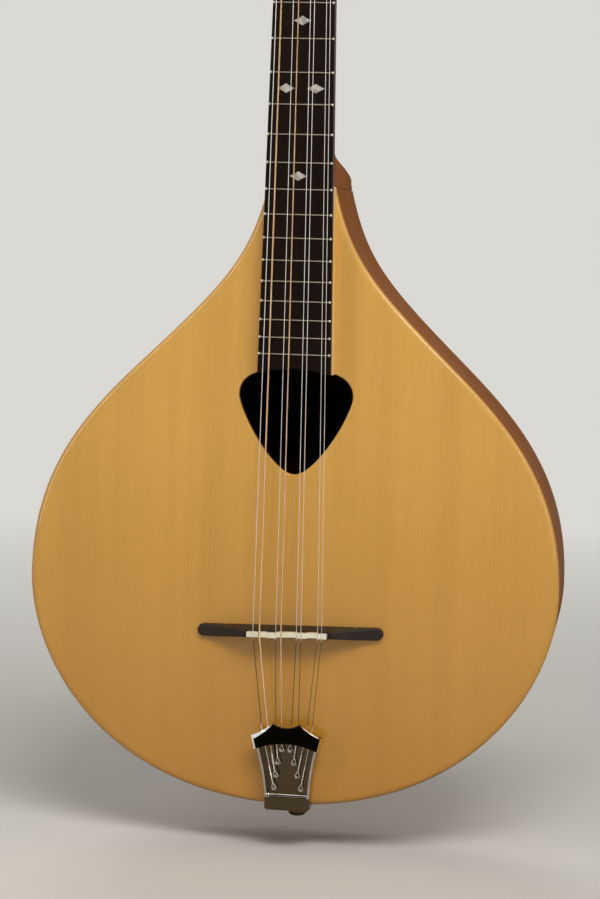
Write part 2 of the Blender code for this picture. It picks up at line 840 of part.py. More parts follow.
def make_neck(head):
    """One piece of mahogany: heel, shaft and tilted headstock, drilled for the tuners."""
    end_z = HEAD_START_Z + 2 * GLUE_GAP
    heights = [JOINT_Z + HEEL_RISE_START * i / 10 for i in range(11)]
    heights += [JOINT_Z * 0.75, JOINT_Z * 0.4, 0, end_z]
    neck = lofted("neck", [neck_section(z) for z in heights], mahogany())
    wood = extruded(
        "headstock_wood", head_outline(), "Y", HEAD_WOOD_Y, HEAD_BACK_Y, mahogany(), parent=head
    )
    fuse(neck, wood)
    channel_floor = NECK_TOP_Y + TRUSS_ROD_DEPTH + 2 * GLUE_GAP
    channel = boxes(
        "truss_channel",
        [
            (
                (-TRUSS_ROD_WIDTH / 2 - GLUE_GAP, NECK_TOP_Y - BOARD_THICKNESS, -TRUSS_ROD_LENGTH),
                (TRUSS_ROD_WIDTH / 2 + GLUE_GAP, channel_floor, TRUSS_CHANNEL_END),
            )
        ],
        plain_steel(),
    )
    cut(neck, channel)
    pocket = boxes(
        "truss_pocket",
        [
            (
                (-TRUSS_POCKET_HALF, -HEAD_WOOD_Y, TRUSS_POCKET_START),
                (TRUSS_POCKET_HALF, TRUSS_POCKET_DEPTH, TRUSS_POCKET_LENGTH),
            )
        ],
        plain_steel(),
        parent=head,
    )
    cut(neck, pocket)
    posts = rods(
        "post_holes",
        "Y",
        [(x, 0, height) for x, height in post_places()],
        POST_RADIUS + HOLE_CLEARANCE,
        -HEAD_WOOD_Y,
        HEAD_BACK_Y + HEAD_WOOD_Y,
        parent=head,
    )
    cut(neck, posts)
    plate_screws = rods(
        "plate_screw_holes",
        "Y",
        [(x, 0, height) for x, height in plate_screw_places()],
        SCREW_SHANK_RADIUS + HOLE_CLEARANCE,
        PLATE_BACK_Y - SCREW_LENGTH - GLUE_GAP,
        PLATE_BACK_Y + HEAD_WOOD_Y,
        parent=head,
    )
    cut(neck, plate_screws)
    cover_screws = rods(
        "cover_screw_holes",
        "Y",
        [(side * COVER_SCREW_X, 0, COVER_SCREW_HEIGHT) for side in SIDES.values()],
        SCREW_SHANK_RADIUS + HOLE_CLEARANCE,
        -HEAD_WOOD_Y - COVER_THICKNESS,
        SCREW_LENGTH,
        parent=head,
    )
    cut(neck, cover_screws)
    return posts, pocket, plate_screws, cover_screws


def make_heel_cap():
    """A thin cap that closes the heel level with the back."""
    half = board_half_width(-JOINT_Z) * 0.97
    rounding = HEEL_CAP_LENGTH * 0.7
    low = JOINT_Z + GLUE_GAP
    high = low + HEEL_CAP_LENGTH
    outline = [Vector((-half, low)), Vector((half, low))]
    for side in (1, -1):
        corner = Vector((side * (half - rounding), high - rounding))
        turns = range(0, 91, 30) if side == 1 else range(90, 181, 30)
        for turn in turns:
            angle = math.radians(turn)
            outline.append(corner + Vector((math.cos(angle), math.sin(angle))) * rounding)
    extruded("heel_cap", outline, "Y", BACK_Y - HEEL_CAP_THICKNESS, BACK_Y, mahogany())


def make_truss_rod():
    """The steel bar in the neck, with its adjusting nut in the headstock's pocket."""
    top_y = NECK_TOP_Y + GLUE_GAP
    low = -TRUSS_ROD_LENGTH + GLUE_GAP
    corners = [
        (
            (-TRUSS_ROD_WIDTH / 2, top_y, low),
            (TRUSS_ROD_WIDTH / 2, top_y + TRUSS_ROD_DEPTH, TRUSS_ROD_PAST_NUT),
        )
    ]
    rod = boxes("truss_rod", corners, plain_steel())
    middle = (0, top_y + TRUSS_ROD_DEPTH / 2, 0)
    profile = [(0, TRUSS_NUT_RADIUS), (TRUSS_NUT_END, TRUSS_NUT_RADIUS)]
    nut = lofted("truss_rod_nut", turned_rings("Z", profile, 6, middle), plain_steel())
    fuse(rod, nut)


def make_headstock_face(head, cutters):
    """The dark veneer on the headstock's face, and the cover over the truss rod's nut."""
    outline = [(x, max(z, 2 * GLUE_GAP)) for x, z in head_outline()]
    veneer = extruded("headstock_veneer", outline, "Y", 0, VENEER_THICKNESS, ebony(), parent=head)
    for tool in cutters:
        cut(veneer, tool)
    neck_in = 0.45 * COVER_HALF
    shape = [
        Vector((COVER_HALF, COVER_START)),
        Vector((COVER_HALF, 0.38 * COVER_LENGTH)),
        Vector((0.72 * COVER_HALF, 0.56 * COVER_LENGTH)),
        Vector((neck_in + COVER_WAIST_FLARE, 0.74 * COVER_LENGTH)),
        Vector((neck_in, 0.9 * COVER_LENGTH)),
        Vector((0.25 * COVER_HALF, 0.98 * COVER_LENGTH)),
        Vector((0, COVER_LENGTH)),
    ]
    outline = shape + [Vector((-p.x, p.y)) for p in shape[-2::-1]]
    cover = extruded(
        "truss_rod_cover",
        outline,
        "Y",
        -GLUE_GAP - COVER_THICKNESS,
        -GLUE_GAP,
        black_plastic(),
        parent=head,
    )
    cut(cover, cutters[-1])


def make_screw(name, place, direction, parent=None):
    """A round-headed wood screw, its head outwards along a signed axis such as -Y."""
    axis = direction[1]
    sign = 1 if direction[0] == "+" else -1
    profile = [
        (sign * SCREW_HEAD_HEIGHT, 0.55 * SCREW_HEAD_RADIUS),
        (sign * 0.3 * SCREW_HEAD_HEIGHT, SCREW_HEAD_RADIUS),
        (0, SCREW_HEAD_RADIUS),
        (0, SCREW_SHANK_RADIUS),
        (-sign * 0.8 * SCREW_LENGTH, SCREW_SHANK_RADIUS),
        (-sign * (SCREW_LENGTH - GLUE_GAP), 0.3 * SCREW_SHANK_RADIUS),
    ]
    rings = turned_rings(axis, profile, KEY_SIDES)
    return lofted(name, rings, plain_steel(), place=place, parent=parent)


def make_fretboard():
    """The ebony board with its frets, its end hollowed to the soundhole's edge."""
    last = -BOARD_END_Z
    half_end = board_half_width(last)
    arc = []
    steps = 10
    for i in range(1, steps):
        share = 2 * i / steps - 1
        arc.append((half_end * -share, BOARD_END_Z + BOARD_END_SCOOP * (1 - share * share)))
    start = -GLUE_GAP
    outline = [
        (-board_half_width(0), start),
        (-half_end, BOARD_END_Z),
        *arc[::-1],
        (half_end, BOARD_END_Z),
        (board_half_width(0), start),
    ]
    board = extruded("fretboard", outline, "Y", 0, BOARD_THICKNESS, ebony())
    bm = bmesh.new()
    section = [
        (-FRET_BASE / 2, FRET_HEIGHT),
        (-FRET_BASE / 2, -0.3 * FRET_HEIGHT),
        (-FRET_CROWN / 2, -FRET_HEIGHT),
        (FRET_CROWN / 2, -FRET_HEIGHT),
        (FRET_BASE / 2, -0.3 * FRET_HEIGHT),
        (FRET_BASE / 2, FRET_HEIGHT),
    ]
    for number in range(1, FRET_COUNT + 1):
        drop = fret_drop(number)
        half = board_half_width(drop) - FRET_END_MARGIN
        rings = [[(x, y, z - drop) for z, y in section] for x in (-half, half)]
        add_loft(bm, rings)
    fuse(board, object_from("frets", bm, polished_nickel()))
    joint_half = board_half_width(-JOINT_Z) - GLUE_GAP
    riser = [(x * (1 - GLUE_GAP / half_end), z + GLUE_GAP) for x, z in outline[1:-1]]
    riser = [(-joint_half, BODY_END_Z)] + riser + [(joint_half, BODY_END_Z)]
    extruded("fretboard_riser", riser, "Y", NECK_TOP_Y, TOP_Y - GLUE_GAP, bare_spruce())


def string_x(index, pitch, pair_gap, drift=0.0):
    """Where a string crosses a line, counted from the bass side."""
    course = index // 2 - (COURSE_COUNT - 1) / 2
    return drift + course * pitch + (index % 2 - 0.5) * pair_gap


def notched_crest(half, base_y, crest_y, pitch, pair_gap):
    """An outline across the strings with a slot for each, as (x, y) points."""
    edge_y = crest_y + CREST_CHAMFER
    outline = [(half, base_y), (half, edge_y), (half - CREST_CHAMFER, crest_y)]
    for index in reversed(range(2 * COURSE_COUNT)):
        x = string_x(index, pitch, pair_gap)
        open_half = STRING_RADII[index] + SLOT_CLEARANCE
        outline += [
            (x + open_half, crest_y),
            (x + open_half, crest_y + open_half),
            (x - open_half, crest_y + open_half),
            (x - open_half, crest_y),
        ]
    outline += [(-half + CREST_CHAMFER, crest_y), (-half, edge_y), (-half, base_y)]
    return outline


def make_nut():
    """The bone nut, slotted for the strings."""
    outline = notched_crest(
        board_half_width(0), BOARD_THICKNESS, -STRING_HEIGHT_NUT, NUT_COURSE_PITCH, NUT_PAIR_GAP
    )
    extruded("nut", outline, "Z", 0, NUT_THICKNESS, bone())


# Bridge


def bridge_profile():
    """The bridge's front view, as (x, y) points: low wings, a step and a tall middle."""
    base = TOP_Y - GLUE_GAP
    half = [
        (BRIDGE_HALF_LENGTH, 0),
        (BRIDGE_HALF_LENGTH, BRIDGE_TIP_HEIGHT),
        (BRIDGE_HALF_LENGTH - BRIDGE_TIP_LENGTH, BRIDGE_WING_HEIGHT),
        (BRIDGE_TALL_HALF + BRIDGE_STEP, BRIDGE_WING_HEIGHT + 0.3 * BRIDGE_STEP),
        (BRIDGE_TALL_HALF + 0.4 * BRIDGE_STEP, BRIDGE_WING_HEIGHT - 0.15 * BRIDGE_STEP),
        (BRIDGE_TALL_HALF, BRIDGE_WING_HEIGHT + 0.55 * BRIDGE_STEP),
        (BRIDGE_TALL_HALF - 2 * BRIDGE_STEP, BRIDGE_HEIGHT - 0.4 * BRIDGE_STEP),
        (BRIDGE_TALL_HALF - 4 * BRIDGE_STEP, BRIDGE_HEIGHT),
    ]
    points = [(x, base - rise) for x, rise in half]
    return points + [(-x, y) for x, y in reversed(points)]


def make_bridge():
    """The ebony bridge, which only the strings hold down, and its bone saddle."""
    place = (STRING_DRIFT_BRIDGE, 0, BRIDGE_Z)
    base = TOP_Y - GLUE_GAP
    rings = []
    for sign in (-1, 1):
        ring = []
        for x, y in bridge_profile():
            rise = (base - y) / BRIDGE_HEIGHT
            width = BRIDGE_WIDTH + (BRIDGE_TOP_WIDTH - BRIDGE_WIDTH) * rise
            ring.append((x, y, sign * width / 2))
        rings.append(ring)
    bridge = lofted("bridge", rings, ebony(), place=place)
    bridge.rotation_euler.y = -BRIDGE_SLANT
    plan = []
    radius = BRIDGE_WIDTH / 2 + GLUE_GAP
    for side in (1, -1):
        for turn in range(-90, 91, 30):
            angle = math.radians(turn)
            x = side * (BRIDGE_HALF_LENGTH - BRIDGE_WIDTH / 2 + radius * math.cos(angle))
            plan.append((x, side * radius * math.sin(angle)))
    shape = extruded(
        "bridge_plan", plan, "Y", base - 2 * BRIDGE_HEIGHT, base + BRIDGE_HEIGHT, ebony(), place=place
    )
    shape.rotation_euler.y = -BRIDGE_SLANT
    combine(bridge, shape, "INTERSECT")
    slot_y = base - BRIDGE_HEIGHT + SADDLE_SLOT_DEPTH
    slot_half = Vector((SADDLE_HALF_LENGTH + GLUE_GAP, 0, SADDLE_THICKNESS / 2 + GLUE_GAP))
    slot = boxes(
        "saddle_slot",
        [
            (
                (-slot_half.x, base - 2 * BRIDGE_HEIGHT, -slot_half.z),
                (slot_half.x, slot_y, slot_half.z),
            )
        ],
        ebony(),
        place=place,
    )
    slot.rotation_euler.y = -BRIDGE_SLANT
    cut(bridge, slot)
    outline = notched_crest(
        SADDLE_HALF_LENGTH,
        slot_y - GLUE_GAP,
        -STRING_HEIGHT_SADDLE,
        SADDLE_COURSE_PITCH,
        SADDLE_PAIR_GAP,
    )
    saddle = extruded(
        "saddle", outline, "Z", -SADDLE_THICKNESS / 2, SADDLE_THICKNESS / 2, bone(), place=place
    )
    saddle.rotation_euler.y = -BRIDGE_SLANT


# Tailpiece


CROWN_PEAK_Z = TAIL_Z + CROWN_PEAK_ABOVE_TAIL
CROWN_UNDERSIDE_Y = TOP_Y - CROWN_UNDERSIDE_HEIGHT
TRAY_Y = TOP_Y - TRAY_CLEARANCE - TRAY_THICKNESS
STRING_CROWN_Y = CROWN_UNDERSIDE_Y + max(STRING_RADII) + 3 * GLUE_GAP
TRAY_HEAD_Z = CROWN_PEAK_Z - TRAY_HEAD_DROP


def scoop(start, end, depth, steps):
    """Points from start towards end, bowed down by a depth in the middle."""
    points = []
    for i in range(steps):
        share = i / steps
        point = start.lerp(end, share)
        point.y -= depth * 4 * share * (1 - share)
        points.append(point)
    return points


def crown_outline():
    """The crown plate: two peaks with a scoop between them, and an arched lower edge."""
    peak = Vector((CROWN_PEAK_X, CROWN_PEAK_Z))
    corner = Vector((CROWN_CORNER_X, CROWN_PEAK_Z - CROWN_CORNER_DROP))
    foot = Vector((CROWN_FOOT_X, CROWN_PEAK_Z - CROWN_FOOT_DROP))
    left = [Vector((-p.x, p.y)) for p in (peak, corner, foot)]
    points = scoop(left[0], peak, CROWN_SCOOP, 6)
    points += scoop(peak, corner, CROWN_FLANK_SCOOP, 3)
    points += [corner]
    points += scoop(foot, left[2], -CROWN_FOOT_ARCH, 6)
    points += [left[2]]
    points += scoop(left[1], left[0], CROWN_FLANK_SCOOP, 3)
    return points


def tray_half_width(z):
    """Half the tray's outer width at a height."""
    head_z = CROWN_PEAK_Z - CROWN_CORNER_DROP
    share = (head_z - z) / (head_z - TAIL_Z - TRAY_BAND_WIDTH)
    half = CROWN_CORNER_X - TRAY_INSIDE_CROWN
    return half + (TRAY_END_HALF - half) * min(max(share, 0), 1)


def make_tailpiece(cutters):
    """The polished metal tailpiece: tray, rails, crown, string hooks and the hanger."""
    place = (STRING_DRIFT_TAIL, 0, 0)
    low_z = TAIL_Z + TRAY_BAND_WIDTH - TRAY_JOIN
    head = tray_half_width(TRAY_HEAD_Z)
    foot = tray_half_width(low_z)
    floor = [(-head, TRAY_HEAD_Z), (head, TRAY_HEAD_Z), (foot, low_z), (-foot, low_z)]
    tray = extruded(
        "tailpiece", floor, "Y", TRAY_Y, TRAY_Y + TRAY_THICKNESS, polished_nickel(), place=place
    )
    rail_top = TRAY_Y - TRAY_BAND_HEIGHT + TRAY_THICKNESS
    rail_head = (TRAY_HEAD_Z - TRAY_JOIN, CROWN_UNDERSIDE_Y - 0.4 * CROWN_THICKNESS)
    for label, side in SIDES.items():
        rings = []
        for z, top_y in (rail_head, (low_z, rail_top)):
            outer = side * (tray_half_width(z) - RAIL_INSET)
            inner = outer - side * TRAY_WALL_THICKNESS
            low_y = TRAY_Y + 0.6 * TRAY_THICKNESS
            rings.append([(outer, low_y, z), (outer, top_y, z), (inner, top_y, z), (inner, low_y, z)])
        fuse(tray, lofted(f"tray_rail_{label}", rings, polished_nickel(), place=place))
    crown = extruded(
        "tailpiece_crown",
        crown_outline(),
        "Y",
        CROWN_UNDERSIDE_Y - CROWN_THICKNESS,
        CROWN_UNDERSIDE_Y,
        polished_nickel(),
        place=place,
    )
    fuse(tray, crown)
    band = boxes(
        "tailpiece_band",
        [
            (
                (-TRAY_END_HALF, rail_top - TRAY_BAND_PROUD, HANGER_OUT_Z),
                (TRAY_END_HALF, TRAY_Y + 0.8 * TRAY_THICKNESS, TAIL_Z + TRAY_BAND_WIDTH),
            )
        ],
        polished_nickel(),
        place=place,
    )
    fuse(tray, band)
    hanger_low = PIN_Y + HANGER_PAST_PIN
    hanger_half = TRAY_END_HALF - HANGER_INSET
    hanger_outline = [
        (-hanger_half, TRAY_Y),
        (hanger_half, TRAY_Y),
        (hanger_half, TOP_Y + TOP_THICKNESS),
        (HANGER_END_HALF, PIN_Y),
        (0.6 * HANGER_END_HALF, hanger_low),
        (-0.6 * HANGER_END_HALF, hanger_low),
        (-HANGER_END_HALF, PIN_Y),
        (-hanger_half, TOP_Y + TOP_THICKNESS),
    ]
    hanger = extruded(
        "tailpiece_hanger",
        hanger_outline,
        "Z",
        HANGER_OUT_Z + RAIL_INSET,
        HANGER_OUT_Z + HANGER_THICKNESS,
        polished_nickel(),
        place=place,
    )
    fuse(tray, hanger)
    hooks = rods(
        "tailpiece_hooks",
        "Y",
        [(x - STRING_DRIFT_TAIL, 0, z) for x, z in hook_places()],
        HOOK_RADIUS,
        TRAY_Y - HOOK_HEIGHT,
        TRAY_Y + 0.5 * TRAY_THICKNESS,
        sides=KEY_SIDES,
        place=place,
    )
    fuse(tray, hooks)
    for tool in cutters:
        cut(tray, tool)


def hook_places():
    """Each string's hook on the tray, bass string first, as (x, z)."""
    bass = []
    for i in reversed(range(COURSE_COUNT)):
        x = HOOK_FIRST_X + HOOK_STEP_X * i
        bass.append((x, CROWN_PEAK_Z - HOOK_FIRST_DROP - HOOK_STEP_DROP * i))
    treble = bass[::-1]
    return [(STRING_DRIFT_TAIL - x, z) for x, z in bass] + [(STRING_DRIFT_TAIL + x, z) for x, z in treble]


def make_end_pin():
    """The pin in the tail block that holds the hanger and takes a strap."""
    head_z = HANGER_OUT_Z - GLUE_GAP
    profile = [
        (head_z + PIN_SHANK_LENGTH, 0.8 * PIN_SHANK_RADIUS),
        (head_z + PIN_SHANK_LENGTH - PIN_SHANK_TAPER, PIN_SHANK_RADIUS),
        (head_z, PIN_SHANK_RADIUS),
        (head_z, PIN_FLANGE_RADIUS),
        (head_z - PIN_FLANGE_THICKNESS, PIN_FLANGE_RADIUS),
        (head_z - PIN_FLANGE_SLOPE, PIN_WAIST_RADIUS),
        (head_z - 0.45 * PIN_LENGTH, PIN_WAIST_RADIUS),
        (head_z - 0.7 * PIN_LENGTH, PIN_KNOB_RADIUS),
        (head_z - 0.9 * PIN_LENGTH, PIN_KNOB_RADIUS),
        (head_z - PIN_LENGTH, 0.75 * PIN_KNOB_RADIUS),
    ]
    rings = turned_rings("Z", profile)
    lofted("end_pin", rings, polished_nickel(), place=(STRING_DRIFT_TAIL, PIN_Y, 0))
    screw_place = (STRING_DRIFT_TAIL, PIN_Y - TAIL_SCREW_ABOVE_PIN, HANGER_OUT_Z - GLUE_GAP)
    make_screw("tailpiece_screw", screw_place, "-Z")


# Strings


def string_route(index):
    """The points of a string's path, from its hook over the saddle and the nut to its post."""
    radius = STRING_RADII[index]
    hook_x, hook_z = hook_places()[index]
    crown_x = string_x(index, CROWN_COURSE_PITCH, CROWN_PAIR_GAP, STRING_DRIFT_TAIL)
    across = string_x(index, SADDLE_COURSE_PITCH, SADDLE_PAIR_GAP)
    saddle_x = STRING_DRIFT_BRIDGE + across * math.cos(BRIDGE_SLANT)
    saddle_z = BRIDGE_Z + across * math.sin(BRIDGE_SLANT)
    nut_x = string_x(index, NUT_COURSE_PITCH, NUT_PAIR_GAP)
    post_x, post_height = post_places()[index]
    side = math.copysign(1, post_x)
    arrival = Vector(
        (post_x - side * (POST_RADIUS + radius + GLUE_GAP), -STRING_ON_POST, post_height)
    )
    crown_z = CROWN_PEAK_Z - CROWN_CORNER_DROP / 2
    hook_end = Vector((hook_x, TRAY_Y - STRING_ABOVE_TRAY, hook_z))
    crown = Vector((crown_x, STRING_CROWN_Y, crown_z))
    hook_end += (crown - hook_end).normalized() * (HOOK_RADIUS + radius + GLUE_GAP)
    return [
        hook_end,
        crown,
        Vector((saddle_x, -STRING_HEIGHT_SADDLE, saddle_z)),
        Vector((nut_x, -STRING_HEIGHT_NUT, 0.8 * NUT_THICKNESS)),
        HEAD_FRAME @ arrival,
    ]


def make_strings():
    """Eight strings in four courses; two are bronze-wound."""
    for index, radius in enumerate(STRING_RADII):
        name = f"string_{index + 1}"
        curve = bpy.data.curves.new(name, "CURVE")
        curve.dimensions = "3D"
        curve.bevel_depth = radius
        curve.bevel_resolution = 2
        curve.use_fill_caps = True
        route = string_route(index)
        spline = curve.splines.new("POLY")
        spline.points.add(len(route) - 1)
        for point, place in zip(spline.points, route):
            point.co = (*place, 1)
        curve.materials.append(bronze_wound() if radius > WOUND_RADIUS else plain_steel())
        bpy.context.scene.collection.objects.link(bpy.data.objects.new(name, curve))


# Tuning machines


def worm_ring(x, radius):
    """A ring of the key's own count of sides."""
    return circle("X", (x, 0, 0), radius, KEY_SIDES)


def add_worm(bm, before, after, start_x):
    """A right-hand screw thread between two rings of vertices."""
    steps = WORM_TURNS * KEY_SIDES
    rows = []
    for k in range(steps + 1):
        angle = 2 * math.pi * k / KEY_SIDES
        x = start_x + WORM_LEAD * k / KEY_SIDES
        row = []
        for shift, radius in (
            (-THREAD_ROOT_HALF, WORM_CORE_RADIUS),
            (-THREAD_CREST_HALF, WORM_CREST_RADIUS),
            (THREAD_CREST_HALF, WORM_CREST_RADIUS),
            (THREAD_ROOT_HALF, WORM_CORE_RADIUS),
        ):
            place = (x + shift, radius * math.cos(angle), radius * math.sin(angle))
            row.append(bm.verts.new(place))
        rows.append(row)
    for near, far in zip(rows, rows[1:]):
        for a, b in ((0, 1), (1, 2), (2, 3)):
            bm.faces.new((near[a], near[b], far[b], far[a]))
    turn = KEY_SIDES
    last_turn = steps - turn
    for k in range(last_turn):
        bm.faces.new((rows[k][3], rows[k + turn][0], rows[k + turn + 1][0], rows[k + 1][3]))
    for k in range(turn - 1):
        bm.faces.new((before[k], rows[k][0], rows[k + 1][0], before[k + 1]))
    for k in range(1, turn):
        near = rows[last_turn + k][3]
        far = rows[last_turn + k + 1][3]
        bm.faces.new((near, after[k], after[(k + 1) % turn], far))
    corner = rows[turn - 1][0]
    bm.faces.new((corner, rows[turn][0], rows[0][3]))
    bm.faces.new((corner, rows[0][3], rows[0][0]))
    bm.faces.new((corner, rows[0][0], before[turn - 1]))
    bm.faces.new((before[turn - 1], rows[0][0], before[0]))
    corner = rows[last_turn + 1][3]
    bm.faces.new((corner, rows[last_turn][3], rows[steps][0]))
    bm.faces.new((corner, rows[steps][0], rows[steps][3]))
    bm.faces.new((corner, rows[steps][3], after[1]))
    bm.faces.new((after[1], rows[steps][3], after[0]))
    bm.faces.new(rows[0][::-1])
    bm.faces.new(rows[steps])


def make_key(name, side, place, head):
    """A tuning key: worm, shaft and oval button, its origin on the shaft's axis."""
    start_x = -1.25 * WORM_LEAD
    end_x = start_x + WORM_TURNS * WORM_LEAD
    margin = THREAD_ROOT_HALF + THREAD_END_MARGIN
    bm = bmesh.new()
    stub_x = -side * (EAR_X + EAR_THICKNESS + GLUE_GAP)
    shaft_end = side * (KEY_LENGTH - BUTTON_LENGTH)
    stub = [(stub_x, SHAFT_RADIUS, SHAFT_RADIUS)]
    button = [(shaft_end, SHAFT_RADIUS, SHAFT_RADIUS)]
    for along, wide, thick in (
        (0.0, 0.42, 0.7),
        (0.16, 0.8, 0.92),
        (0.45, 1.0, 1.0),
        (0.75, 0.88, 0.92),
        (0.94, 0.55, 0.6),
        (1.0, 0.25, 0.3),
    ):
        x = shaft_end + side * BUTTON_LENGTH * along
        button.append((x, BUTTON_HALF_THICKNESS * thick, BUTTON_HALF_WIDTH * wide))

    def ring(x, thick, wide):
        return [bm.verts.new((x, y * thick, z * wide)) for _, y, z in worm_ring(0, 1)]

    low = [stub[0]] if side > 0 else button[::-1]
    high = button if side > 0 else [stub[0]]
    before = [ring(*size) for size in low] + [ring(start_x - margin, WORM_CORE_RADIUS, WORM_CORE_RADIUS)]
    after = [ring(end_x + margin, WORM_CORE_RADIUS, WORM_CORE_RADIUS)] + [ring(*size) for size in high]
    for rows in (before, after):
        for near, far in zip(rows, rows[1:]):
            for i in range(KEY_SIDES):
                j = (i + 1) % KEY_SIDES
                bm.faces.new((near[i], near[j], far[j], far[i]))
    bm.faces.new(before[0][::-1])
    bm.faces.new(after[-1])
    add_worm(bm, before[-1], after[0], start_x)
    return object_from(name, bm, polished_nickel(), place=place, parent=head)


def gear_outline():
    """The gear's teeth, with the middle of a gap facing the worm."""
    root_radius = GEAR_PITCH_RADIUS - GEAR_DEDENDUM
    tip_radius = GEAR_PITCH_RADIUS + GEAR_ADDENDUM
    outline = []
    for tooth in range(GEAR_TEETH):
        middle = 2 * math.pi * (tooth + 0.5) / GEAR_TEETH
        for half, radius in (
            (-TOOTH_ROOT_HALF, root_radius),
            (-TOOTH_TIP_HALF, tip_radius),
            (TOOTH_TIP_HALF, tip_radius),
            (TOOTH_ROOT_HALF, root_radius),
        ):
            angle = middle + half / radius
            outline.append((radius * math.sin(angle), -radius * math.cos(angle)))
    return outline


def make_post(name, place, head):
    """A string post with its gear, its origin on the post's axis."""
    gear_low = GEAR_Y - GEAR_THICKNESS / 2
    gear_high = GEAR_Y + GEAR_THICKNESS / 2
    profile = [
        (-POST_PROUD, 0.82 * POST_RADIUS),
        (-POST_PROUD + POST_TIP_CHAMFER, POST_RADIUS),
        (PLATE_BACK_Y + GLUE_GAP, POST_RADIUS),
        (PLATE_BACK_Y + GLUE_GAP, POST_RADIUS + HOLE_CLEARANCE),
        (GEAR_Y, POST_RADIUS + HOLE_CLEARANCE),
        (GEAR_Y, 0.85 * POST_RADIUS),
        (gear_high + GEAR_CAP_HEIGHT, 0.8 * POST_RADIUS),
    ]
    post = lofted(name, turned_rings("Y", profile), polished_nickel(), place=place, parent=head)
    gear = extruded(
        f"{name}_gear",
        gear_outline(),
        "Y",
        gear_low,
        gear_high,
        polished_nickel(),
        place=place,
        parent=head,
    )
    fuse(post, gear)


def make_tuner_plate(label, side, head, post_tool, screw_tool):
    """A plate that carries four tuning machines on the back of the headstock."""
    heights = [POST_FIRST_HEIGHT + POST_PITCH * i for i in range(COURSE_COUNT)]
    low = heights[0] - PLATE_SCREW_LOW - PLATE_END_MARGIN
    high = heights[-1] + PLATE_SCREW_HIGH + PLATE_END_MARGIN
    x = side * POST_X
    half = PLATE_HALF_WIDTH
    corners = [((x - half, PLATE_FACE_Y, low), (x + half, PLATE_BACK_Y, high))]
    plate = boxes(f"tuner_plate_{label}", corners, polished_nickel(), parent=head)
    ears = []
    for height in heights:
        shaft_z = height - WORM_DROP
        for way in (-1, 1):
            near = x + way * EAR_X
            far = x + way * (EAR_X + EAR_THICKNESS)
            ears.append(
                (
                    (min(near, far), PLATE_BACK_Y - 0.5 * PLATE_THICKNESS, shaft_z - EAR_HALF_WIDTH),
                    (max(near, far), GEAR_Y + EAR_PAST_SHAFT, shaft_z + EAR_HALF_WIDTH),
                )
            )
    fuse(plate, boxes(f"tuner_ears_{label}", ears, polished_nickel(), parent=head))
    bores = rods(
        f"tuner_bores_{label}",
        "X",
        [(x, GEAR_Y, height - WORM_DROP) for height in heights],
        SHAFT_RADIUS + HOLE_CLEARANCE,
        -PLATE_HALF_WIDTH,
        PLATE_HALF_WIDTH,
        parent=head,
    )
    cut(plate, bores)
    cut(plate, post_tool)
    cut(plate, screw_tool)


def make_tuners(head, post_tool, screw_tool):
    """Both tuner plates, with eight posts and eight keys."""
    for label, side in SIDES.items():
        make_tuner_plate(label, side, head, post_tool, screw_tool)
    for index, (x, height) in enumerate(post_places()):
        side = 1 if x > 0 else -1
        make_post(f"tuner_post_{index + 1}", (x, 0, height), head)
        make_key(f"tuner_key_{index + 1}", side, (x, GEAR_Y, height - WORM_DROP), head)
    for index, (x, height) in enumerate(plate_screw_places()):
        place = (x, PLATE_BACK_Y + GLUE_GAP, height)
        make_screw(f"tuner_plate_screw_{index + 1}", place, "+Y", head)
    for index, side in enumerate(SIDES.values()):
        place = (side * COVER_SCREW_X, -2 * GLUE_GAP - COVER_THICKNESS, COVER_SCREW_HEIGHT)
        make_screw(f"truss_cover_screw_{index + 1}", place, "-Y", head)


def make_bouzouki():
    """Build every piece of the instrument."""
    clear_scene()
    head = bpy.data.objects.new("headstock_frame", None)
    head.matrix_world = HEAD_FRAME
    bpy.context.scene.collection.objects.link(head)
    make_plates()
    cutters = tail_cutters()
    make_sides(cutters)
    make_blocks(cutters)
    make_linings()
    make_braces()
    post_tool, pocket_tool, screw_tool, cover_tool = make_neck(head)
    make_heel_cap()
    make_truss_rod()
    make_headstock_face(head, [post_tool, pocket_tool, cover_tool])
    make_fretboard()
    make_nut()
    make_bridge()
    make_tailpiece(cutters)
    make_end_pin()
    make_strings()
    make_tuners(head, post_tool, screw_tool)


make_bouzouki()
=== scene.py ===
"""Irish bouzouki: the dressed model of the instrument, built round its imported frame.

Metres, +Z up the neck, the face towards -Y, the treble side towards +X. The origin is the
middle of the nut's lower edge, on the playing surface of the fretboard.
"""

from __future__ import annotations

import logging
import math
from dataclasses import dataclass, replace
from enum import Enum
from typing import Callable, Sequence

import bmesh
import bpy
from mathutils import Matrix, Vector

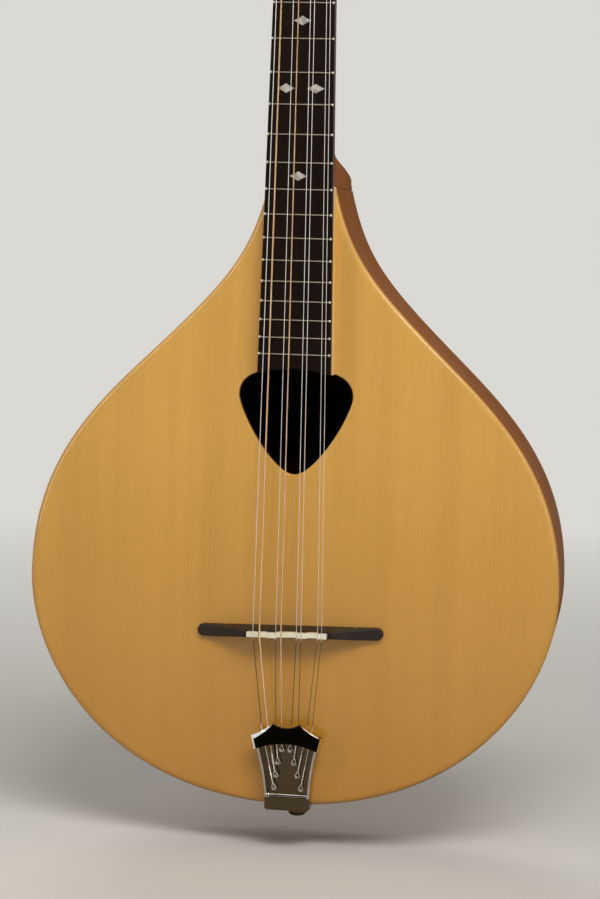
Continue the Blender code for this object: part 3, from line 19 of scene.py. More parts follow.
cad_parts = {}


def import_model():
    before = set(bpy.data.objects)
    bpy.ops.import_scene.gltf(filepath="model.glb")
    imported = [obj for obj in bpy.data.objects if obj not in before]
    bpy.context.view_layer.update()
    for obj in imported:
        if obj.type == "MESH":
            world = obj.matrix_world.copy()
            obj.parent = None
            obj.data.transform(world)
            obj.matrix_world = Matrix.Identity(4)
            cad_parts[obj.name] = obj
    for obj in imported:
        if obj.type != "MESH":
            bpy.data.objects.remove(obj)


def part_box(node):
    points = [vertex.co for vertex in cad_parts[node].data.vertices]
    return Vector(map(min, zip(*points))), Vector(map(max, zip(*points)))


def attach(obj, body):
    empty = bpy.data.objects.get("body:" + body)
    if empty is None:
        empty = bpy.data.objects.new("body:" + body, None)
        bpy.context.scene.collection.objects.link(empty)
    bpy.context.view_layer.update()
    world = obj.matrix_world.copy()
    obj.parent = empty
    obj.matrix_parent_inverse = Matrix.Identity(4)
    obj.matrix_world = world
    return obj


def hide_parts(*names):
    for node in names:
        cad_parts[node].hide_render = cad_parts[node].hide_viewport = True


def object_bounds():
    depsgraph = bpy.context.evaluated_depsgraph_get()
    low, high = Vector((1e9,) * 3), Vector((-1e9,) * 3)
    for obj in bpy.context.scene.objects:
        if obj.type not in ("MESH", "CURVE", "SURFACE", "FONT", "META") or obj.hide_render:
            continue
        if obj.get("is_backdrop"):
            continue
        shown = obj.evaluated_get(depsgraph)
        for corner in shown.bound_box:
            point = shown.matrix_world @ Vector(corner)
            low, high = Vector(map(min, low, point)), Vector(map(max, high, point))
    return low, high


LOG = logging.getLogger("bouzouki")
INSTRUMENT = "instrument"

Colour = tuple[float, float, float]
Outline = list[Vector]
Ring = list[Vector]
Piece = bpy.types.Object
Socket = bpy.types.NodeSocket

RIGHT, BACK, UP = Vector((1, 0, 0)), Vector((0, 1, 0)), Vector((0, 0, 1))


class Side(Enum):
    """The two sides of the instrument, by the direction along X."""

    BASS = -1
    TREBLE = 1


class Slot(Enum):
    """The record's material slots."""

    SPRUCE = "spruce_top"
    MAHOGANY = "mahogany"
    BARE_SPRUCE = "bare_spruce"
    EBONY = "ebony"
    BONE = "bone"
    NICKEL = "polished_nickel"
    STEEL = "steel"
    BRONZE = "bronze_wound"
    PLASTIC = "black_plastic"


# Hands for modelling


def deselect_all() -> None:
    """Leave nothing selected and nothing active."""
    for thing in bpy.context.selected_objects:
        thing.select_set(False)
    bpy.context.view_layer.objects.active = None


def take_up(thing: Piece) -> None:
    """Select one object alone and make it active.

    Args:
        thing: The object to work on.
    """
    deselect_all()
    thing.select_set(True)
    bpy.context.view_layer.objects.active = thing


def turn_faces_out(thing: Piece) -> None:
    """Merge doubled corners and point every face outwards.

    Args:
        thing: A closed mesh object.
    """
    take_up(thing)
    bpy.ops.object.mode_set(mode="EDIT")
    bpy.ops.mesh.select_all(action="SELECT")
    bpy.ops.mesh.remove_doubles(threshold=1e-7)
    bpy.ops.mesh.normals_make_consistent(inside=False)
    bpy.ops.object.mode_set(mode="OBJECT")


def apply_modifier(thing: Piece, kind: str, **settings: object) -> None:
    """Add one modifier, set it and apply it.

    Args:
        thing: The object to modify.
        kind: The modifier's type.
        **settings: The modifier's own settings.
    """
    take_up(thing)
    modifier = thing.modifiers.new(kind.lower(), kind)
    for name, value in settings.items():
        setattr(modifier, name, value)
    bpy.ops.object.modifier_apply(modifier=modifier.name)


def smooth(thing: Piece, degrees: float = 35.0) -> Piece:
    """Shade round stretches smooth, keep corners crisp and keep flat faces flat.

    Args:
        thing: The object to shade.
        degrees: The sharpest corner that still counts as round.

    Returns:
        The same object.
    """
    take_up(thing)
    bpy.ops.object.shade_smooth_by_angle(angle=math.radians(degrees))
    apply_modifier(thing, "WEIGHTED_NORMAL", keep_sharp=True, weight=80)
    return thing


def round_edges(thing: Piece, width: float, segments: int = 3, degrees: float = 40.0) -> Piece:
    """Round every corner sharper than an angle.

    Args:
        thing: The object to round.
        width: How far the rounding reaches from the corner.
        segments: The number of facets in the rounding.
        degrees: The least angle that is rounded.

    Returns:
        The same object.
    """
    apply_modifier(
        thing, "BEVEL", width=width, segments=segments, limit_method="ANGLE",
        angle_limit=math.radians(degrees), miter_outer="MITER_ARC",
    )
    return thing


def bevel_where(thing: Piece, test: Callable[[Vector], bool], width: float, segments: int) -> None:
    """Bevel in edit mode the sharp edges whose two ends pass a test.

    Args:
        thing: The object to bevel.
        test: Says of a point whether an edge may end there.
        width: The bevel's width.
        segments: The number of facets across the bevel.
    """
    take_up(thing)
    bpy.ops.object.mode_set(mode="EDIT")
    bpy.ops.mesh.select_mode(type="EDGE")
    bpy.ops.mesh.select_all(action="DESELECT")
    drawn = bmesh.from_edit_mesh(thing.data)
    for edge in drawn.edges:
        sharp = edge.calc_face_angle(0.0) > math.radians(30)
        edge.select = sharp and all(test(end.co) for end in edge.verts)
    bmesh.update_edit_mesh(thing.data)
    bpy.ops.mesh.bevel(offset=width, segments=segments, affect="EDGES", clamp_overlap=True)
    bpy.ops.mesh.select_mode(type="VERT")
    bpy.ops.object.mode_set(mode="OBJECT")


def skinned(name: str, rings: Sequence[Ring]) -> Piece:
    """Shape a sphere into a closed skin over rings of equally many points.

    Args:
        name: The object's name.
        rings: The sections, from one end to the other.

    Returns:
        The new object.
    """
    sides = len(rings[0])
    bands = len(rings) + 1
    deselect_all()
    bpy.ops.mesh.primitive_uv_sphere_add(segments=sides, ring_count=bands, radius=1.0)
    thing = bpy.context.active_object
    thing.name = name
    first_angle = None
    for vertex in thing.data.vertices:
        row = round(math.acos(max(-1.0, min(1.0, vertex.co.z))) / math.pi * bands) - 1
        if row < 0 or row >= len(rings):
            end = rings[0] if row < 0 else rings[-1]
            vertex.co = sum((Vector(point) for point in end), Vector()) / sides
            continue
        angle = math.atan2(vertex.co.y, vertex.co.x)
        if first_angle is None:
            first_angle = angle
        place = round((angle - first_angle) / (2 * math.pi) * sides) % sides
        vertex.co = rings[row][place]
    turn_faces_out(thing)
    return thing


def plate(name: str, outline: Outline, front_y: float, back_y: float) -> Piece:
    """Shape a disc into an outline in the XZ plane and extrude it along Y.

    Args:
        name: The object's name.
        outline: The closed outline, as (x, z) points.
        front_y: The Y of the face towards the player.
        back_y: The Y of the other face.

    Returns:
        The new object.
    """
    deselect_all()
    bpy.ops.mesh.primitive_circle_add(vertices=len(outline), radius=1.0, fill_type="NGON")
    thing = bpy.context.active_object
    thing.name = name
    for vertex, point in zip(thing.data.vertices, outline):
        vertex.co = (point[0], back_y, point[1])
    bpy.ops.object.mode_set(mode="EDIT")
    bpy.ops.mesh.select_all(action="SELECT")
    bpy.ops.mesh.extrude_region_move(TRANSFORM_OT_translate={"value": (0, front_y - back_y, 0)})
    bpy.ops.object.mode_set(mode="OBJECT")
    turn_faces_out(thing)
    return thing


def spoke(right: Vector, up: Vector, share: float) -> Vector:
    """The direction at a share of a full turn, which starts at right and goes by way of up."""
    return right * math.cos(2 * math.pi * share) + up * math.sin(2 * math.pi * share)


def turned(
    name: str, profile: Sequence[tuple[float, float]], centre: Vector, axis: Vector, sides: int = 32
) -> Piece:
    """A turned piece, from pairs of distance along its axis and radius.

    Args:
        name: The object's name.
        profile: Distance and radius of each ring, in order.
        centre: Where the distance is zero.
        axis: The unit direction of the turning axis.
        sides: The number of facets round the piece.

    Returns:
        The new object.
    """
    across = axis.orthogonal().normalized()
    spokes = [spoke(across, axis.cross(across), i / sides) for i in range(sides)]
    rings = []
    for along, radius in profile:
        rings.append([centre + axis * along + way * radius for way in spokes])
    return skinned(name, rings)


def wire(name: str, points: Sequence[Vector], radius: float, closed: bool = False) -> Piece:
    """A round wire along points, as a mesh.

    Args:
        name: The object's name.
        points: The wire's middle line.
        radius: The wire's radius.
        closed: Whether the last point joins the first.

    Returns:
        The new object.
    """
    curve = bpy.data.curves.new(name, "CURVE")
    curve.dimensions = "3D"
    curve.bevel_depth = radius
    curve.bevel_resolution = 3
    curve.use_fill_caps = not closed
    spline = curve.splines.new("POLY")
    spline.points.add(len(points) - 1)
    for point, place in zip(spline.points, points):
        point.co = (*place, 1.0)
    spline.use_cyclic_u = closed
    thing = bpy.data.objects.new(name, curve)
    bpy.context.scene.collection.objects.link(thing)
    take_up(thing)
    bpy.ops.object.convert(target="MESH")
    thing = bpy.context.active_object
    turn_faces_out(thing)
    return thing


def rod(name: str, start: Vector, end: Vector, radius: float, sides: int = 28) -> Piece:
    """A plain round rod from the middle of its one end to the middle of the other."""
    axis = end - start
    return turned(name, [(0.0, radius), (axis.length, radius)], start, axis.normalized(), sides)


def cut_away(thing: Piece, *tools: Piece) -> Piece:
    """Cut tools out of a piece and throw the tools away.

    Args:
        thing: The piece that is cut.
        *tools: The closed shapes to take out of it.

    Returns:
        The same piece.
    """
    for tool in tools:
        apply_modifier(thing, "BOOLEAN", operation="DIFFERENCE", solver="EXACT", object=tool)
        bpy.data.objects.remove(tool)
    return thing


def joined(name: str, things: Sequence[Piece]) -> Piece:
    """Put separate shapes into one object.

    Args:
        name: The name of the whole.
        things: The shapes.

    Returns:
        The one object.
    """
    take_up(things[0])
    for thing in things[1:]:
        thing.select_set(True)
    bpy.ops.object.join()
    things[0].name = name
    return things[0]


def refined_node(node: str, name: str, rounding: float) -> Piece:
    """A copy of a frame node, merged, cleaned and with its corners rounded.

    Args:
        node: The frame node to copy.
        name: The copy's name.
        rounding: The width of the rounding.

    Returns:
        The copy.
    """
    source = bpy.data.objects[node]
    copy = bpy.data.objects.new(name, source.data.copy())
    bpy.context.scene.collection.objects.link(copy)
    take_up(copy)
    bpy.ops.object.mode_set(mode="EDIT")
    bpy.ops.mesh.select_all(action="SELECT")
    bpy.ops.mesh.remove_doubles(threshold=2e-6)
    bpy.ops.mesh.dissolve_limited(angle_limit=math.radians(0.5))
    bpy.ops.object.mode_set(mode="OBJECT")
    return smooth(round_edges(copy, rounding, 2))


def between(low: float, high: float, steps: int) -> list[float]:
    """Numbers at equal steps from low to high, both of them included."""
    return [low + (high - low) * i / steps for i in range(steps + 1)]


def bezier(start: Vector, leaving: Vector, arriving: Vector, end: Vector, steps: int) -> Outline:
    """Points of one cubic curve, without its last point.

    Args:
        start: Where the curve starts.
        leaving: The step from the start to its handle.
        arriving: The step from the end's handle to the end.
        end: Where the curve ends.
        steps: The number of points.

    Returns:
        The points.
    """
    points = []
    for i in range(steps):
        t = i / steps
        s = 1 - t
        near, far = (start + leaving) * (3 * s * s * t), (end - arriving) * (3 * s * t * t)
        points.append(start * s**3 + near + far + end * t**3)
    return points


def mirrored(half: Outline) -> Outline:
    """A whole outline from its treble half, which starts and ends on the middle line."""
    return list(half) + [Vector((-point.x, point.y)) for point in reversed(half[1:-1])]


def symmetric(half: Sequence[tuple[float, float]], centre: float = 0.0) -> Outline:
    """A whole outline from the corners of its treble half, none of them on the middle line."""
    corners = [*half, *((-x, z) for x, z in reversed(half))]
    return [Vector((centre + x, z)) for x, z in corners]


def clamped(share: float) -> float:
    """A share kept between 0 and 1."""
    return min(max(share, 0.0), 1.0)


def eased(share: float) -> float:
    """A share kept between 0 and 1 and eased towards both ends."""
    return clamped(share) ** 2 * (3 - 2 * clamped(share))


def bowed(share: float) -> float:
    """The height of a bow at a share of its length: 0 at its ends and 1 in its middle."""
    return 4 * share * (1 - share)


def dressed(piece: Piece, finish: Finish, slot: Slot, *nodes: str, body: str = INSTRUMENT) -> None:
    """Give a piece its finish and its body.

    Args:
        piece: The finished mesh.
        finish: Its finish.
        slot: The record's slot that the finish stands for; not used.
        *nodes: The frame nodes that the piece stands for.
        body: The body that it rides on.
    """
    piece.data.materials.clear()
    piece.data.materials.append(finish.material())
    piece.data.name = piece.name
    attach(piece, body)
    if nodes:
        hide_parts(*nodes)
    LOG.info("%s on %s, %d faces", piece.name, body, len(piece.data.polygons))


def dress_node(node: str, finish: Finish) -> None:
    """Give a frame node that stays a better material.

    Args:
        node: The node's name.
        finish: Its finish.
    """
    for place in bpy.data.objects[node].material_slots:
        place.material = finish.material()
    LOG.info("%s keeps its frame mesh", node)


# Finishes


class NodeBench:
    """A hand for laying out shader nodes in one tree."""

    def __init__(self, tree: bpy.types.NodeTree) -> None:
        """Work on a material's tree or on a group."""
        self.tree = tree

    def feed(self, node: bpy.types.Node, inputs: dict[str | int, object]) -> None:
        """Set inputs of a node.

        Args:
            node: The node.
            inputs: Values or sockets, by the inputs' names or places.
        """
        for key, value in inputs.items():
            if isinstance(value, Socket):
                self.tree.links.new(value, node.inputs[key])
            else:
                node.inputs[key].default_value = value

    def add(
        self, kind: str, inputs: dict[str | int, object] | None = None, **settings: object
    ) -> bpy.types.Node:
        """Add one node.

        Args:
            kind: The node's type without its ShaderNode prefix.
            inputs: Values or sockets for the node's inputs.
            **settings: The node's own settings.

        Returns:
            The node.
        """
        node = self.tree.nodes.new(f"ShaderNode{kind}")
        for name, value in settings.items():
            setattr(node, name, value)
        self.feed(node, inputs or {})
        return node

    def place(self, kind: str = "Object") -> Socket:
        """One of the texture coordinates."""
        return self.add("TexCoord").outputs[kind]

    def part(self, vector: Socket, axis: int) -> Socket:
        """The X, Y or Z of a vector, by its number from 0."""
        return self.add("SeparateXYZ", {0: vector}).outputs[axis]

    def noise(self, vector: Socket, scale: float, detail: float, rough: float = 0.5) -> Socket:
        """A noise value over a vector, with its octaves and the strength of the finer ones."""
        inputs = {"Vector": vector, "Scale": scale, "Detail": detail, "Roughness": rough}
        return self.add("TexNoise", inputs).outputs[0]

    def streaks(self, vector: Socket, scales: Colour, detail: float, rough: float = 0.5) -> Socket:
        """A noise value with a scale of its own along X, Y and Z."""
        stretched = self.add("Mapping", {"Vector": vector, "Scale": scales}).outputs[0]
        return self.noise(stretched, 1.0, detail, rough)

    def calc(self, operation: str, first: object, second: object = 0.0) -> Socket:
        """One step of arithmetic with numbers or sockets."""
        return self.add("Math", {0: first, 1: second}, operation=operation).outputs[0]

    def spread(
        self, value: Socket, low: float, high: float, to_low: float = 0.0, to_high: float = 1.0
    ) -> Socket:
        """Map the range from low to high of a value to another one, and clamp it."""
        inputs = {"Value": value, 1: low, 2: high, 3: to_low, 4: to_high}
        return self.add("MapRange", inputs).outputs[0]

    def blend(self, share: object, first: object, second: object) -> Socket:
        """Mix two colours, with the second one's share; each of them can be a socket."""
        colours = [(*c, 1.0) if isinstance(c, tuple) else c for c in (first, second)]
        return self.add("Mix", {0: share, 6: colours[0], 7: colours[1]}, data_type="RGBA").outputs[2]

    def bump(self, height: Socket, depth: float) -> Socket:
        """A normal that a height from 0 to 1 tilts, with what 1 is in metres."""
        inputs = {"Height": height, "Distance": depth, "Strength": 1.0}
        return self.add("Bump", inputs).outputs[0]

    def shared(self, fill: Fill, inputs: dict[str, object]) -> bpy.types.bpy_prop_collection:
        """Add a shared node group, which is built the first time.

        Args:
            fill: Lays out the group's nodes; the group has its name.
            inputs: What the group gets: its vector and its numbers.

        Returns:
            The sockets of the group's results.
        """
        group = bpy.data.node_groups.get(fill.__name__)
        if not group:
            group = bpy.data.node_groups.new(fill.__name__, "ShaderNodeTree")
            for label in inputs:
                kind = "NodeSocketVector" if label == "Vector" else "NodeSocketFloat"
                group.interface.new_socket(label, in_out="INPUT", socket_type=kind)
            bench = NodeBench(group)
            results = fill(bench, group.nodes.new("NodeGroupInput").outputs)
            for label in results:
                group.interface.new_socket(label, in_out="OUTPUT", socket_type="NodeSocketFloat")
            bench.feed(group.nodes.new("NodeGroupOutput"), results)
        return self.add("Group", inputs, node_tree=group).outputs


Fill = Callable[[NodeBench, bpy.types.bpy_prop_collection], dict[str, Socket]]


def timber_grain(bench: NodeBench, given: bpy.types.bpy_prop_collection) -> dict[str, Socket]:
    """The grain that every timber here uses, its fibres along the vector's Z.

    Args:
        bench: The bench of the group's tree.
        given: The group's inputs: Vector, Spacing and Wander.

    Returns:
        The group's results.
    """
    vector, spacing = given["Vector"], given["Spacing"]
    drift = bench.calc("SUBTRACT", bench.streaks(vector, (9.0, 9.0, 2.2), 2.0), 0.5)
    drift = bench.calc("MULTIPLY", drift, given["Wander"])
    crowd = bench.streaks(vector, (70.0, 20.0, 0.4), 1.0)
    crowd = bench.calc("MULTIPLY", crowd, bench.calc("MULTIPLY", spacing, 9.0))
    across = bench.calc("ADD", bench.calc("ADD", bench.part(vector, 0), drift), crowd)
    phase = bench.calc("FRACT", bench.calc("DIVIDE", across, spacing))
    return {
        "Rings": bench.calc("POWER", phase, 3.0),
        "Bands": bench.spread(bench.streaks(vector, (55.0, 30.0, 1.6), 4.0, 0.6), 0.3, 0.7),
        "Fibre": bench.streaks(vector, (2400.0, 1400.0, 45.0), 3.0, 0.6),
        "Pores": bench.spread(bench.streaks(vector, (1500.0, 900.0, 70.0), 2.0), 0.6, 0.72),
        "Silk": bench.spread(bench.streaks(vector, (90.0, 300.0, 800.0), 2.0), 0.45, 0.75),
    }


def handling(bench: NodeBench, given: bpy.types.bpy_prop_collection) -> dict[str, Socket]:
    """The traces of handling: soft smudges, hairline scratches and fine dust.

    Args:
        bench: The bench of the group's tree.
        given: The group's inputs: Vector and Scale.

    Returns:
        The group's results.
    """
    scaled = {0: given["Vector"], 3: given["Scale"]}
    sized = bench.add("VectorMath", scaled, operation="SCALE").outputs[0]
    return {
        "Smudge": bench.spread(bench.noise(sized, 1.0, 5.0, 0.55), 0.35, 0.7),
        "Scratches": bench.spread(bench.streaks(sized, (30.0, 30.0, 1.1), 2.0, 0.7), 0.62, 0.78),
        "Dust": bench.spread(bench.noise(sized, 90.0, 2.0, 0.6), 0.6, 0.75),
    }


@dataclass(frozen=True)
class Finish:
    """A material that is built once, when a piece first asks for it."""

    name: str

    def paint(self, bench: NodeBench) -> dict[str, object]:
        """Lay out the nodes and give the shader's inputs; each kind of finish has its own way."""
        raise NotImplementedError

    def material(self) -> bpy.types.Material:
        """The finish as a material.

        Returns:
            The material.
        """
        found = bpy.data.materials.get(self.name)
        if found:
            return found
        material = bpy.data.materials.new(self.name)
        material.use_nodes = True
        bench = NodeBench(material.node_tree)
        bench.feed(material.node_tree.nodes["Principled BSDF"], self.paint(bench))
        return material


@dataclass(frozen=True)
class Wood(Finish):
    """A timber with rings, fibres, pores and a coat of oil or lacquer, and where set some painted shade:
    at its rounded edges, towards the tail and on an inside face.
    """

    early: Colour
    late: Colour
    ring_spacing: float
    ring_strength: float
    wander: float
    band_strength: float
    roughness: float
    relief: float
    pore_strength: float = 0.0
    coat: float = 0.0
    coat_roughness: float = 0.12
    specular: float = 0.4
    silk: float = 0.0
    handling_scale: float = 14.0
    # A deeper amber on roundings that turn away from the face: partly the end grain's own tone, partly
    # painted shade.
    edge: Colour | None = None
    # Painted shade: the colour that edges facing downwards darken to.
    under_edge_shade: Colour = (0.21, 0.078, 0.010)
    # Painted shade: from the first height below down to the second, the colour blends towards deep by up
    # to this share, so it is darker towards the tail.
    tail_shade: float = 0.0
    deep: Colour = (0.337, 0.126, 0.002)
    tail_shade_from: float = -0.53
    tail_shade_to: float = -0.75
    # Painted shade: behind this depth the inner face is painted nearly black, standing in for the shade
    # inside the box; inside is that colour.
    inside_shade_y: float | None = None
    inside: Colour = (0.010, 0.004, 0.002)
    bent_length: float = 0.0
    bent_width: float = 0.0

    def where(self, bench: NodeBench) -> Socket:
        """The vector that the grain is read by.

        Args:
            bench: The bench of the material's tree.

        Returns:
            Object coordinates, or on a bent strip its own length and width.
        """
        if not self.bent_length:
            return bench.place()
        flat = bench.add("SeparateXYZ", {0: bench.place("UV")}).outputs
        along = bench.calc("MULTIPLY", flat[0], self.bent_length)
        across = bench.calc("MULTIPLY", flat[1], self.bent_width)
        return bench.add("CombineXYZ", {0: across, 2: along}).outputs[0]

    def paint(self, bench: NodeBench) -> dict[str, object]:
        """Lay out the timber.

        Args:
            bench: The bench of the material's tree.

        Returns:
            What the shader's inputs get.
        """
        vector = self.where(bench)
        given = {"Vector": vector, "Spacing": self.ring_spacing, "Wander": self.wander}
        grain = bench.shared(timber_grain, given)
        smudge = bench.shared(handling, {"Vector": vector, "Scale": self.handling_scale})["Smudge"]
        lines = bench.calc("MULTIPLY", grain["Rings"], self.ring_strength)
        lines = bench.calc("MULTIPLY", lines, bench.spread(grain["Bands"], 0.0, 1.0, 0.35, 1.0))
        share = bench.calc("ADD", lines, bench.calc("MULTIPLY", grain["Bands"], self.band_strength))
        share = bench.calc("ADD", share, bench.spread(grain["Fibre"], 0.3, 0.7, -0.12, 0.12))
        if self.silk:
            share = bench.calc("SUBTRACT", share, bench.calc("MULTIPLY", grain["Silk"], self.silk))
        colour = bench.blend(bench.spread(share, 0.0, 1.0), self.early, self.late)
        pores = bench.calc("MULTIPLY", grain["Pores"], self.pore_strength)
        colour = bench.blend(pores, colour, tuple(0.35 * part for part in self.late))
        rough = bench.spread(smudge, 0.0, 1.0, self.roughness - 0.04, self.roughness + 0.05)
        coat: object = self.coat
        # Painted shade: darker towards the tail.
        if self.tail_shade:
            height = bench.part(bench.place(), 2)
            low = bench.spread(height, self.tail_shade_from, self.tail_shade_to, 0.0, self.tail_shade)
            colour = bench.blend(low, colour, self.deep)
        # Rounded edges: deeper amber, partly end grain and partly painted shade.
        if self.edge:
            facing = bench.place("Normal")
            forward = bench.calc("ABSOLUTE", bench.part(facing, 1))
            colour = bench.blend(bench.spread(forward, 0.8, 0.35), colour, self.edge)
            # Painted shade on edges that face downwards.
            under_shade = bench.spread(bench.part(facing, 2), -0.25, -0.9, 0.0, 0.9)
            colour = bench.blend(under_shade, colour, self.under_edge_shade)
            coat = bench.spread(forward, 0.4, 0.75, 0.0, self.coat)
        # Painted shade: the inside of the box painted dark.
        if self.inside_shade_y is not None:
            depth = bench.part(bench.place(), 1)
            inside_shade = bench.spread(depth, self.inside_shade_y - 0.0001, self.inside_shade_y + 0.0001, 1.0, 0.0)
            colour = bench.blend(inside_shade, colour, self.inside)
            rough = bench.calc("MAXIMUM", rough, inside_shade)
            coat = bench.spread(inside_shade, 0.0, 1.0, self.coat, 0.0)
        return {
            "Base Color": colour,
            "Roughness": rough,
            "Coat Weight": coat,
            "Coat Roughness": self.coat_roughness,
            "Specular IOR Level": self.specular,
            "Normal": bench.bump(bench.calc("SUBTRACT", grain["Fibre"], pores), self.relief),
        }


@dataclass(frozen=True)
class Metal(Finish):
    """A metal with smudges, fine scratches and, on a wound string, its winding, and where set a band
    painted dark as a painted reflection.
    """

    colour: Colour
    roughness: float
    smudge: float = 0.0
    scratch: float = 0.0
    winding: float = 0.0
    handling_scale: float = 60.0
    # A band along one axis painted a dark colour, a painted reflection.
    zone_axis: int = 2
    painted_reflection_band: tuple[float, float] | None = None
    painted_reflection_colour: Colour = (0.0, 0.0, 0.0)
    zone_blur: float = 0.002

    def paint(self, bench: NodeBench) -> dict[str, object]:
        """Lay out the metal.

        Args:
            bench: The bench of the material's tree.

        Returns:
            What the shader's inputs get.
        """
        vector = bench.place()
        traces = bench.shared(handling, {"Vector": vector, "Scale": self.handling_scale})
        dull = tuple(0.8 * part for part in self.colour)
        colour = bench.blend(bench.calc("MULTIPLY", traces["Smudge"], 0.6), self.colour, dull)
        # Painted reflection: the band is painted dark.
        if self.painted_reflection_band:
            low, high = self.painted_reflection_band
            place = bench.part(vector, self.zone_axis)
            above = bench.spread(place, low - self.zone_blur, low)
            below = bench.spread(place, high, high + self.zone_blur, 1.0, 0.0)
            colour = bench.blend(bench.calc("MULTIPLY", above, below), colour, self.painted_reflection_colour)
        rough = bench.spread(traces["Smudge"], 0.0, 1.0, self.roughness, self.roughness + self.smudge)
        rough = bench.calc("ADD", rough, bench.calc("MULTIPLY", traces["Scratches"], self.scratch))
        inputs = {"Metallic": 1.0, "Base Color": colour, "Roughness": rough}
        if self.winding:
            turn = bench.calc("MULTIPLY", bench.part(vector, 2), 2 * math.pi / self.winding)
            ridge = bench.calc("ABSOLUTE", bench.calc("SINE", turn))
            inputs["Normal"] = bench.bump(ridge, 0.2 * self.winding)
        return inputs


@dataclass(frozen=True)
class Hard(Finish):
    """Bone or hard plastic with a mottled colour."""

    colour: Colour
    mottle: Colour
    mottle_scale: float
    roughness: float
    coat: float = 0.0
    relief: float = 0.000004
    handling_scale: float = 45.0

    def paint(self, bench: NodeBench) -> dict[str, object]:
        """Lay out the stuff.

        Args:
            bench: The bench of the material's tree.

        Returns:
            What the shader's inputs get.
        """
        vector = bench.place()
        traces = bench.shared(handling, {"Vector": vector, "Scale": self.handling_scale})
        cloud = bench.spread(bench.noise(vector, self.mottle_scale, 5.0, 0.6), 0.35, 0.65)
        smooth_end, rough_end = self.roughness - 0.05, self.roughness + 0.08
        return {
            "Base Color": bench.blend(cloud, self.colour, self.mottle),
            "Roughness": bench.spread(traces["Smudge"], 0.0, 1.0, smooth_end, rough_end),
            "Coat Weight": self.coat,
            "Normal": bench.bump(traces["Dust"], self.relief),
        }


@dataclass(frozen=True)
class Pearl(Finish):
    """Mother-of-pearl: layered greys with a faint play of pink and green."""

    pale: Colour = (0.50, 0.47, 0.42)
    deep: Colour = (0.24, 0.23, 0.21)
    pink: Colour = (0.48, 0.38, 0.35)
    green: Colour = (0.34, 0.41, 0.36)

    def paint(self, bench: NodeBench) -> dict[str, object]:
        """Lay out the pearl.

        Args:
            bench: The bench of the material's tree.

        Returns:
            What the shader's inputs get.
        """
        vector = bench.place()
        warped = bench.noise(vector, 260.0, 4.0, 0.6)
        waves = {"Vector": vector, "Scale": 60.0, "Distortion": 9.0, "Detail": 3.0}
        layers = bench.add("TexWave", waves, bands_direction="DIAGONAL").outputs[0]
        colour = bench.blend(bench.spread(layers, 0.2, 0.8), self.pale, self.deep)
        tint = bench.blend(bench.spread(warped, 0.4, 0.6), self.pink, self.green)
        return {
            "Base Color": bench.blend(0.35, colour, tint),
            "Roughness": bench.spread(warped, 0.3, 0.7, 0.12, 0.3),
            "Coat Weight": 0.5,
        }


@dataclass(frozen=True)
class Paper(Finish):
    """Plain paper that fades away from its middle."""

    colour: Colour
    solid: float
    gone: float

    def paint(self, bench: NodeBench) -> dict[str, object]:
        """Lay out the paper.

        Args:
            bench: The bench of the material's tree.

        Returns:
            What the shader's inputs get.
        """
        reach = bench.add("VectorMath", {0: bench.place()}, operation="LENGTH").outputs["Value"]
        fade = bench.spread(reach, self.solid, self.gone, 1.0, 0.0)
        return {"Base Color": (*self.colour, 1.0), "Roughness": 0.8, "Alpha": fade}


# Painted shade: the top darkens towards the tail.
SPRUCE = Wood(
    "lacquered_spruce", early=(0.660, 0.352, 0.062), late=(0.490, 0.250, 0.036),
    ring_spacing=0.0014, ring_strength=0.40, wander=0.004, band_strength=0.46, silk=0.06,
    roughness=0.40, relief=0.000010, coat=1.0, coat_roughness=0.10, specular=0.15,
    # The deeper amber of the rounded edge is partly the end grain's own tone and partly painted shade.
    edge=(0.500, 0.215, 0.022), tail_shade=0.57,
)
BARE_SPRUCE = Wood(
    "bare_spruce_wood", early=(0.60, 0.40, 0.17), late=(0.42, 0.23, 0.08),
    ring_spacing=0.0016, ring_strength=0.6, wander=0.003, band_strength=0.3,
    roughness=0.6, relief=0.00003,
)
# Painted highlight: the riser is bare spruce painted much paler than the braces, standing in for its lit
# side.
RISER = replace(BARE_SPRUCE, name="riser_spruce_painted_highlight", early=(0.86, 0.58, 0.25), late=(0.74, 0.44, 0.15))
MAHOGANY = Wood(
    "lacquered_mahogany", early=(0.325, 0.103, 0.009), late=(0.195, 0.048, 0.003),
    ring_spacing=0.009, ring_strength=0.35, wander=0.02, band_strength=0.6, pore_strength=0.55,
    roughness=0.5, relief=0.00002, specular=0.01,
)
BENT_MAHOGANY = replace(
    MAHOGANY, name="bent_mahogany", early=(0.330, 0.105, 0.006), late=(0.130, 0.032, 0.002),
    bent_length=0.62, bent_width=0.079,
)
# The inside of the back is painted dark as painted shade.
BACK_MAHOGANY = replace(
    MAHOGANY, name="back_mahogany", inside_shade_y=0.0937, specular=0.14, roughness=0.42, coat=0.06
)
EBONY = Wood(
    "oiled_ebony", early=(0.0034, 0.0017, 0.0009), late=(0.0110, 0.0048, 0.0024),
    ring_spacing=0.006, ring_strength=0.25, wander=0.02, band_strength=0.55, pore_strength=0.35,
    roughness=0.42, relief=0.000018, specular=0.07,
)
# The bridge's ebony is lighter than the board's: partly its own tone, partly painted sheen.
BRIDGE_EBONY = replace(
    EBONY, name="bridge_ebony_tone_and_painted_sheen", early=(0.016, 0.011, 0.008), late=(0.030, 0.019, 0.012), specular=0.2
)
NICKEL = Metal("polished_nickel_plate", (0.52, 0.48, 0.42), roughness=0.07, smudge=0.07, scratch=0.05)
# Painted reflection: polished nickel painted nearly black, standing in for a dark reflection.
DARK_REFLECTION_NICKEL = Metal("nickel_painted_dark_reflection", (0.0034, 0.0030, 0.0018), roughness=0.05, smudge=0.03)
